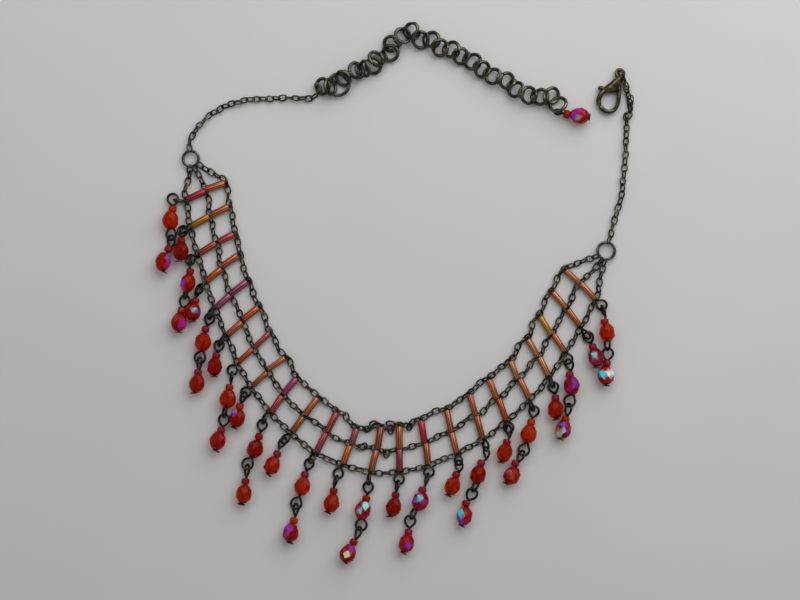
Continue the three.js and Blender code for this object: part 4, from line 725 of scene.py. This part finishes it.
def loop(shape, centre, along, tilt, towards, outer=4.3, wire=WIRE, mat=0):
    """A pin's turned end: a drop-shaped loop that leans by tilt from lying flat, its point
    at the stem, which comes in from `towards`. The cut end stops a hair short of the stem."""
    along = unit(np.array([along[0], along[1], 0.0]))
    side = np.cross(UP, along)
    across = turned_about(side, along, math.radians(tilt))
    r = (outer - wire) / 2
    c = np.array(centre, float)
    back = unit(np.array(towards, float) - c)
    a0 = math.atan2(np.dot(back, across), np.dot(back, along))
    turn = lambda t: math.cos(a0 + t) * along + math.sin(a0 + t) * across
    c = c - turn(0) * 0.14 * r
    half = math.radians(48)
    tip = c + turn(0) * r / math.cos(half)
    arc = [c + r * turn(t) for t in np.linspace(half, 2 * math.pi - half, 22)]
    path = [tip] + [tip + (arc[0] - tip) * k for k in (0.35, 0.7)] + arc + [arc[-1] + (tip - arc[-1]) * k for k in (0.4, 0.78)]
    lift = max(0.0, wire / 2 + 0.02 - min(p[2] for p in path))
    path = [p + UP * lift for p in path]
    verts, faces, uvs = swept(path, wire / 2, 10)
    shape.add(verts, faces, mat, True, uvs)
    return c, path[0], across


def wire_run(shape, points, wire=WIRE, sides=10, mat=0):
    verts, faces, uvs = swept(points, wire / 2, sides)
    shape.add(verts, faces, mat, True, uvs)


def disc(shape, centre, axis, radius, thick, mat=0, sides=20):
    profile = [(0, 0), (radius * 0.9, 0), (radius, thick * 0.25), (radius, thick * 0.75), (radius * 0.9, thick), (0, thick)]
    verts, faces, uvs = lathe(profile, centre, axis, sides)
    shape.add(verts, faces, mat, True, uvs)


# ------------------------------------------------------------------------ beads
BUGLE_TINT = {
    "copper": (0.435, 0.132, 0.056), "orange": (0.505, 0.127, 0.025), "gold": (0.383, 0.162, 0.013), "rust": (0.418, 0.078, 0.025),
    "crimson": (0.418, 0.024, 0.056), "rose": (0.409, 0.069, 0.074), "mauve": (0.322, 0.086, 0.146), "maroon": (0.278, 0.049, 0.067),
    "brown": (0.348, 0.103, 0.043), "bronze": (0.365, 0.137, 0.034), "peach": (0.470, 0.191, 0.087), "magenta": (0.365, 0.047, 0.168), "amber": (0.557, 0.265, 0.034),
}
SEED_TINT = {"red": (0.46, 0.012, 0.014), "magenta": (0.45, 0.012, 0.085), "orange": (0.60, 0.030, 0.015), "crimson": (0.42, 0.010, 0.040), "purple": (0.34, 0.014, 0.130)}
BEAD_TINT = {"red": (0.66, 0.008, 0.002), "orange": (0.74, 0.017, 0.002), "dark": (0.55, 0.004, 0.002), "rose": (0.60, 0.007, 0.014), "wine": (0.48, 0.007, 0.030), "scarlet": (0.70, 0.010, 0.003)}
# Coating colours for the coated facets, painted in as the reflections those facets show; white and cream are painted
# glints.
COAT_AND_REFLECTION = {"cyan": (0.04, 0.82, 1.0), "mint": (0.30, 0.96, 0.80), "white": (0.92, 1.0, 0.92), "cream": (0.82, 0.90, 0.62), "violet": (0.30, 0.05, 0.62),
        "magenta": (0.58, 0.02, 0.32), "blue": (0.07, 0.17, 0.82), "pink": (0.84, 0.24, 0.36), "gold": (0.78, 0.42, 0.05), "plum": (0.30, 0.03, 0.14), "ice": (0.36, 0.70, 0.86)}


def bugle(shape, a, b, outer, tint, phase, mat=0):
    """A glass tube with its own hole, its edges at both ends slightly chamfered."""
    axis = unit(b - a)
    length = np.linalg.norm(b - a)
    hole, lip = 0.42, 0.05
    profile = [(hole, 0.12), (hole + 0.03, 0.0), (outer - lip, 0.0), (outer, lip), (outer, length - lip), (outer - lip, length), (hole + 0.03, length), (hole, length - 0.12), (hole, length * 0.5), (hole, 0.12)]
    verts, faces, uvs = lathe(profile, a, axis, 24, phase)
    keep = [i for i in range(len(faces))]
    shape.add(verts, [faces[i] for i in keep], mat, True, [uvs[i] for i in keep], (*tint, 1))


def seed(shape, centre, axis, tint, mat=0, outer=1.44, half=1.04, coats_and_reflections=None):
    """A small round glass bead with a hole."""
    hole = 0.42
    profile = []
    for k in range(15):
        a = 2 * math.pi * k / 14
        profile.append((hole + (outer - hole) / 2 + (outer - hole) / 2 * math.copysign(abs(math.cos(a)) ** 0.85, math.cos(a)), half * math.copysign(abs(math.sin(a)) ** 0.8, math.sin(a))))
    verts, faces, uvs = lathe(profile, centre, axis, 22)
    shape.add(verts, faces, mat, True, uvs, (*tint, 1), coats_and_reflections)


def faceted(shape, centre, axis, tint, turn, spots, width=5.5, length=6.8, mat=0, waist=0.93):
    """A pressed and fire-polished glass bead: rows of soft-edged facets, the middle ones the
    largest. spots are coated patches on its upper side, their reflected colour painted in: (x, y, radius, colour,
    strength), mm."""
    axis = unit(np.array([axis[0], axis[1], 0.0]))
    x = np.array(UP)
    y = np.cross(axis, x)
    n = 7
    R = width / 2 * 1.03
    high = min(1.0, 2.90 / R)
    centre = np.array([centre[0], centre[1], R * high + 0.03])
    pick = random.Random(int(round((centre[0] * 37 + centre[1] * 91) * 100)))
    shift = pick.uniform(-0.02, 0.07) * length
    rows = [(shift, R, 0.0), (shift + 0.21 * length, R * waist, 0.5), (shift - 0.24 * length, R * (waist - 0.03), 0.5), (0.40 * length, R * 0.62, 0.0), (-0.40 * length, R * 0.56, 0.0),
            (0.478 * length, R * 0.36, 0.5), (-0.478 * length, R * 0.34, 0.5)]
    bm = bmesh.new()
    for h, r, phase in rows:
        for k in range(n):
            a = 2 * math.pi * (k + phase + turn) / n
            bm.verts.new((r * math.cos(a), r * math.sin(a), h))
    bmesh.ops.convex_hull(bm, input=bm.verts)
    bmesh.ops.dissolve_limit(bm, angle_limit=0.02, verts=bm.verts, edges=bm.edges)
    bmesh.ops.bevel(bm, geom=list(bm.edges), offset=0.085, segments=1, affect="EDGES", profile=0.5, clamp_overlap=True)
    bm.normal_update()
    verts = [centre + v.co.x * high * x + v.co.y * y + v.co.z * axis for v in bm.verts]
    faces, coats_and_reflections, tints = [], [], []
    for f in bm.faces:
        faces.append([v.index for v in f.verts])
        big = f.calc_area() > 0.8
        warm, deep = (pick.random(), pick.uniform(0.78, 1.18)) if big else (0.45, 0.95)
        tints.append((tint[0] * deep, tint[1] * deep * (0.6 + 1.2 * warm), tint[2] * deep * (1.7 - 1.1 * warm), 1))
        keep = pick.uniform(0.90, 1.0) if big else 0.95
        # Painted reflection: each corner takes the coating colour of the spots near it.
        m = f.calc_center_median()
        m = m.x * x + m.y * y + m.z * axis
        row = []
        for v in f.verts:
            p = v.co.x * x + v.co.y * y + v.co.z * axis
            total, mix, most = 0.0, np.zeros(3), 0.0
            if p[2] > -0.4:
                for sx, sy, radius, colour, strength in spots:
                    d = (0.3 * math.hypot(p[0] - sx, p[1] - sy) + 0.7 * math.hypot(m[0] - sx, m[1] - sy)) / radius
                    w = strength * min(1.0, max(0.0, 2.2 * (1.22 - d)))
                    total += w * w
                    mix += w * w * np.array(COAT_AND_REFLECTION[colour])
                    most = max(most, w)
            row.append((*(mix / total), most * keep) if total > 1e-6 else (0, 0, 0, 0))
        coats_and_reflections.append(row)
    bm.free()
    shape.add(verts, faces, mat, False, None, (*tint, 1), coats_and_reflections, tints)


# ------------------------------------------------------------------------ rungs
for i, rung in enumerate(RUNGS):
    name = f"rung_{i + 1:02d}"
    z = 1.25
    inner, middle, outer = (P(rung[k], z) for k in ("inner", "middle", "outer"))
    ia, ib, oa, ob = (P(rung[k], z) for k in ("inner_bead_start", "inner_bead_end", "outer_bead_start", "outer_bead_end"))
    beads = Shape()
    jitter = random.Random(100 + i)
    fat = (1.22, 1.0, 1.2, 1.12, 1.05)[(i > 5) + (i > 7) + (i > 14) + (i > 19)]
    u, v = unit(ib - ia), unit(ob - oa)
    bugle(beads, ia - u * 0.15, ib + u * 0.45, fat, BUGLE_TINT[rung["looks"][0]], jitter.uniform(0, 24))
    bugle(beads, oa - v * 0.45, ob + v * 0.15, fat, BUGLE_TINT[rung["looks"][1]], jitter.uniform(0, 24))
    beads.build(name + "_bugles", [BUGLE_GLASS], "necklace", [name], "bugle_beads")
    pin = Shape()
    first = unit(ib - ia)
    start = ia - first * 1.15
    eye, loop_at = P(rung["eye"], 1.2), P(DROPS[i]["loop"], 1.2)
    tilt_eye, tilt_loop = LEANS[i]
    towards = outer + unit(eye - outer) * 0.6
    c, join, _ = loop(pin, eye, loop_at - eye, tilt_eye, outer, wire=1.05 if i == 0 else WIRE)
    wire_run(pin, [start, ia, ib, middle, oa, ob, outer, (outer + join) / 2 + np.array([0, 0, 0.05]), join])
    disc(pin, start - first * 0.22, first, 1.22, 0.46)
    pin.build(name + "_pin", [METAL_PIN], "necklace", [name], "dark_brass")


# ------------------------------------------------------------------------ drops
for i, drop in enumerate(DROPS):
    name = f"drop_{i + 1:02d}"
    jitter = random.Random(300 + i)
    rung_eye = P(RUNGS[i]["eye"], 1.2)
    metal_shape, glass = Shape(), Shape()
    s, b = P(drop["seed"], 1.95), P(drop["bead"], 2.76)
    lp = P(drop["loop"], 1.2)
    tilt_eye, tilt_loop = LEANS[i]
    c, join, _ = loop(metal_shape, lp, rung_eye - lp if np.linalg.norm(rung_eye - lp) > 0.3 else lp - s, -tilt_loop, s, outer=4.5 if i == 0 else 4.25)
    look = drop["looks"]
    turn = drop.get("turn", (jitter.uniform(0, 1),))[0]
    tail = P(drop["loop_a"], 1.9) if "loop_a" in drop else P(drop["head"], 2.3)
    along = unit(np.array([*(tail - s)[:2], 0.0]))
    seed(glass, s + along * 0.28, unit(b - join), SEED_TINT[look[0]], 1)
    faceted(glass, b, along, BEAD_TINT[look[1]], turn, drop.get("spots", []), drop["wide"][0], waist=drop.get("waist", 0.93))
    if "loop_a" in drop:
        la, lb = P(drop["loop_a"], 1.6), P(drop["loop_b"], 1.6)
        ta, tb = drop.get("leans", (70, 12))
        out = b + along * 3.4
        ca, ja, _ = loop(metal_shape, la, lb - la, ta, out, outer=4.7)
        wire_run(metal_shape, [join, s, b, out, (out + ja) / 2, ja])
        s2, b2, e2 = P(drop["seed_2"], 1.95), P(drop["bead_2"], 2.76), P(drop["head"], 2.5)
        cb, jb, _ = loop(metal_shape, lb, la - lb, -tb, s2, outer=4.55)
        along2 = unit(np.array([*(e2 - s2)[:2], 0.0]))
        turn2 = drop["turn"][1] if "turn" in drop else jitter.uniform(0, 1)
        seed(glass, s2 + along2 * 0.28, unit(b2 - jb), SEED_TINT[look[2]], 1)
        faceted(glass, b2, along2, BEAD_TINT[look[3]], turn2, drop.get("spots_2", []), drop["wide"][1])
        end = b2 + unit(np.array([*(e2 - b2)[:2], 0.0])) * (3.15 if i == 12 else 3.5)
        wire_run(metal_shape, [jb, s2, b2, end])
        disc(metal_shape, end - along2 * 0.04, unit(along2 + np.cross(UP, along2) * jitter.uniform(-0.3, 0.3)), 1.3, 0.55 if i == 8 else 0.38)
    else:
        end = b + unit(np.array([*(tail - b)[:2], 0.0])) * 3.5
        wire_run(metal_shape, [join, s, b, end])
        disc(metal_shape, end - along * 0.04, unit(along + np.cross(UP, along) * jitter.uniform(-0.3, 0.3)), 1.3, 0.38)
    metal_shape.build(name + "_wire", [METAL_PIN], "necklace", [name], "dark_brass")
    glass.build(name + "_beads", [BEAD_AB if drop.get("ab") else BEAD, SEED_AB if drop.get("ab") else SEED_GLASS], "necklace", [name], "red_beads")


# --------------------------------------------------------------------- extender
def extender_ring(shape, centre, ahead, outer, wire, lean, roll=0.0, split=None):
    """A round ring that leans by `lean` degrees from lying flat, about the line across the chain."""
    ahead = unit(np.array([ahead[0], ahead[1], 0.0]))
    across = np.cross(UP, ahead)
    tipped = turned_about(ahead, across, math.radians(-lean))
    across = turned_about(across, ahead, math.radians(roll))
    r = (outer - wire) / 2
    c = np.array(centre, float)
    c[2] = max(c[2], wire / 2 + r * math.hypot(tipped[2], across[2]))
    a0 = math.radians(split if split is not None else 0)
    gap = 0.045
    path = [c + r * (math.cos(a0 + t) * tipped + math.sin(a0 + t) * across) for t in np.linspace(gap, 2 * math.pi - gap, 41)]
    verts, faces, uvs = swept(path, wire / 2, 12)
    shape.add(verts, faces, 0, True, uvs)


def lean_of(row, outer):
    return math.degrees(math.acos(max(0.12, min(1.0, row["along"] / outer))))


groups = {"extender_first_link": ("extender_first_look", 1), "extender_second_link": ("extender_second_look", 2)}
rings = {}
centres = [P(r["at"]) for r in EXTENDER]
for k, row in enumerate(EXTENDER):
    before, after = centres[max(k - 1, 0)], centres[min(k + 1, len(EXTENDER) - 1)]
    ahead = after - before
    jitter = random.Random(500 + k)
    if row["kind"] == "large":
        node, outer, wire, lean = "extender_ring", 8.75, 1.2, 8
    elif row["kind"] == "main":
        outer, wire = max(row["across"] * 1.05, 6.6), 1.28
        lean = lean_of(row, outer) * (1 if k % 4 < 2 else -1)
    else:
        outer, wire = max(row["across"], 4.7), 1.12
        lean = max(68, lean_of(row, outer)) * (1 if k % 4 < 2 else -1)
    node = "extender_ring" if row["kind"] == "large" else "extender_first_link" if k < 2 else "extender_second_link" if k == 2 else "extender_chain"
    shape = rings.setdefault(node, Shape())
    z = 1.5 if row["kind"] == "large" else 0.5
    extender_ring(shape, P(row["at"], z), ahead, outer, wire, lean, jitter.uniform(-10, 10), jitter.uniform(0, 360))
for node, shape in rings.items():
    shape.build(node + "_look", [METAL_RING], "necklace", [node], "dark_brass")

metal_shape, glass = Shape(), Shape()
lp, s, b, e = P(EXTENDER_DROP["loop"], 1.9), P(EXTENDER_DROP["seed"], 1.95), P(EXTENDER_DROP["bead"], 2.98), P(EXTENDER_DROP["head"], 2.5)
c, join, _ = loop(metal_shape, lp, s - lp, 48, s, outer=3.1, wire=0.92)
along = unit(np.array([*(e - s)[:2], 0.0]))
s = s + along * 0.25
seed(glass, s, along, SEED_TINT["red"], 1, outer=1.5, half=1.15)
faceted(glass, b, along, BEAD_TINT["rose"], 0.5, EXTENDER_DROP["spots"], width=5.7, length=6.9)
end = b + along * 3.4
wire_run(metal_shape, [join, s, b, end])
disc(metal_shape, end - along * 0.05, along, 1.28, 0.36)
metal_shape.build("extender_drop_wire", [METAL_PIN], "necklace", ["extender_drop"], "dark_brass")
glass.build("extender_drop_beads", [BEAD_AB, SEED_AB], "necklace", ["extender_drop"], "red_beads")


# ------------------------------------------------------------------------ clasp
def loft(rows, middle, sides=24, power=2.4, closed_ends=True):
    """A casting: rows are (x, y, width, thickness) along its middle line, mm, ends rounded over."""
    pts = np.array([P(r[:2], middle) for r in rows])
    w = np.array([r[2] / 2 for r in rows]); h = np.array([r[3] / 2 for r in rows])
    dense, total = resample(pts, 0.35)
    cum = np.concatenate([[0], np.cumsum(np.linalg.norm(np.diff(pts, axis=0), axis=1))])
    at = np.linspace(0, cum[-1], len(dense))
    def smooth(vals):
        y = np.interp(at, cum, vals)
        k = np.array([1, 2, 3, 2, 1]) / 9
        pad = np.pad(y, 2, mode="edge")
        return np.convolve(pad, k, "valid")
    w, h = smooth(w), smooth(h)
    # rounded ends
    for end in (0, -1):
        t = unit(dense[0] - dense[1]) if end == 0 else unit(dense[-1] - dense[-2])
        caps = [(0.45, 0.88), (0.75, 0.66), (0.93, 0.36), (1.0, 0.06)]
        r = min(w[end], h[end])
        extra = [dense[end] + t * r * a for a, _ in caps]
        ew = [w[end] * s for _, s in caps]; eh = [h[end] * s for _, s in caps]
        if end == 0:
            dense = np.vstack([extra[::-1], dense]); w = np.concatenate([ew[::-1], w]); h = np.concatenate([eh[::-1], h])
        else:
            dense = np.vstack([dense, extra]); w = np.concatenate([w, ew]); h = np.concatenate([h, eh])
    n = len(dense)
    verts, faces, uvs = [], [], []
    for i in range(n):
        t = unit(dense[min(i + 1, n - 1)] - dense[max(i - 1, 0)])
        side = unit(np.cross(UP, t))
        for k in range(sides):
            a = 2 * math.pi * k / sides
            c, s = math.cos(a), math.sin(a)
            verts.append(dense[i] + side * w[i] * math.copysign(abs(c) ** (2 / power), c) + UP * h[i] * math.copysign(abs(s) ** (2 / power), s))
    for i in range(n - 1):
        for k in range(sides):
            l = (k + 1) % sides
            faces.append([i * sides + k, i * sides + l, (i + 1) * sides + l, (i + 1) * sides + k][::-1])
            uvs.append([(k / sides, i / n)] * 4)
    faces.append([k for k in range(sides)]); uvs.append([(0, 0)] * sides)
    faces.append([(n - 1) * sides + k for k in range(sides)][::-1]); uvs.append([(0, 0)] * sides)
    return verts, faces, uvs


def pillow(outline, spine, middle, high, rings=7, step=0.32):
    """A cushion-shaped casting: a closed outline rounded over both ways about a line inside it."""
    pts, _ = resample([P(p) for p in outline] + [P(outline[0])], step)
    pts = pts[:-1]
    a, b = P(spine[0]), P(spine[1])
    verts, index, grid = [], {}, []

    def place(p):
        key = tuple(round(float(v), 3) for v in p)
        if key not in index:
            index[key] = len(verts)
            verts.append(np.array(p))
        return index[key]

    for p in pts:
        t = min(1.0, max(0.0, float(np.dot(p - a, b - a) / np.dot(b - a, b - a))))
        q = a + (b - a) * t
        column = []
        for side in (1, -1):
            for j in range(rings + 1):
                phi = math.pi / 2 * j / rings
                c, h = math.cos(phi) ** (2 / 2.3), math.sin(phi) ** (2 / 2.3)
                if side == -1 and j == 0:
                    continue
                column.append((side * j, place(q + (p - q) * (c if j < rings else 0.0) + UP * (middle + side * high * h))))
        grid.append([k for _, k in sorted(column)])
    faces = []
    for i in range(len(grid)):
        m, n = grid[i], grid[(i + 1) % len(grid)]
        for j in range(len(m) - 1):
            face = []
            for k in (m[j], n[j], n[j + 1], m[j + 1]):
                if k not in face:
                    face.append(k)
            if len(face) > 2:
                faces.append(face)
    return verts, faces


body = Shape()
v, f = pillow(CLASP_OUTLINE, CLASP_SPINE, 1.55, 1.5)
body.add(v, f, 0, True)
for rows in CLASP_BODY:
    v, f, u = loft(rows, 1.45)
    body.add(v, f, 0, True, u)
eye_c = P(CLASP_EYE, 1.45)
v, f, u = swept(ring_path(eye_c, np.array([1.0, 0, 0]), np.array([0, 1.0, 0]), 1.30, 1.32, 40), 0.63, 14, closed=True)
body.add(v, f, 0, True, u)
body.build("clasp_casting", [METAL_CLASP], "necklace", ["clasp_body"], "dark_brass")

gate = Shape()
for rows in CLASP_LEVER:
    v, f, u = loft(rows, 1.45)
    gate.add(v, f, 0, True, u)
gate.build("clasp_gate", [METAL_CLASP], "clasp_lever", ["clasp_lever"], "dark_brass")

# ------------------------------------------------------------- surface and light
floor_mat, tree, bsdf = new_material("pale_surface")
soft = noise(tree, 14, 3, 0.5)
tree.links.new(ramp(tree, soft, [(0.3, (0.640, 0.626, 0.622)), (0.7, (0.660, 0.648, 0.644))]), bsdf.inputs["Base Color"])
bsdf.inputs["Roughness"].default_value = 0.62
bpy.ops.mesh.primitive_plane_add(size=4, location=(0, 0, 0))
floor = bpy.context.object
floor.name = "surface"
floor.data.materials.append(floor_mat)


def area(name, at, towards, size, power, colour=(1, 1, 1)):
    data = bpy.data.lights.new(name, "AREA")
    data.shape = "RECTANGLE"
    data.size, data.size_y = size
    data.energy = power
    data.color = colour
    lamp = bpy.data.objects.new(name, data)
    bpy.context.scene.collection.objects.link(lamp)
    lamp.location = at
    lamp.rotation_mode = "QUATERNION"
    lamp.rotation_quaternion = (Vector(towards) - Vector(at)).to_track_quat("-Z", "Y")
    return lamp


area("window", (0.225, 0.40, 0.41), (0, 0, 0), (0.80, 0.64), 3.52, (1.0, 0.995, 0.985))
area("room", (-0.40, 0.30, 0.62), (0, 0, 0), (0.16, 0.16), 0.46, (0.98, 0.99, 1.0))
world = bpy.data.worlds.new("room_light")
bpy.context.scene.world = world
world.use_nodes = True
world.node_tree.nodes["Background"].inputs["Color"].default_value = (0.90, 0.90, 0.91, 1)
world.node_tree.nodes["Background"].inputs["Strength"].default_value = 0.30

camera = bpy.data.objects.new("camera", bpy.data.cameras.new("camera"))
bpy.context.scene.collection.objects.link(camera)
bpy.context.scene.camera = camera
camera.data.sensor_width = 36
camera.data.lens = 90
camera.location = ((1.49 + SHIFT[0]) * 0.001, (-2.28 + SHIFT[1]) * 0.001, 0.7)
camera.rotation_euler = (0, 0, 0)
camera.data.clip_start, camera.data.clip_end = 0.01, 10
bpy.context.scene.view_settings.view_transform = "Standard"
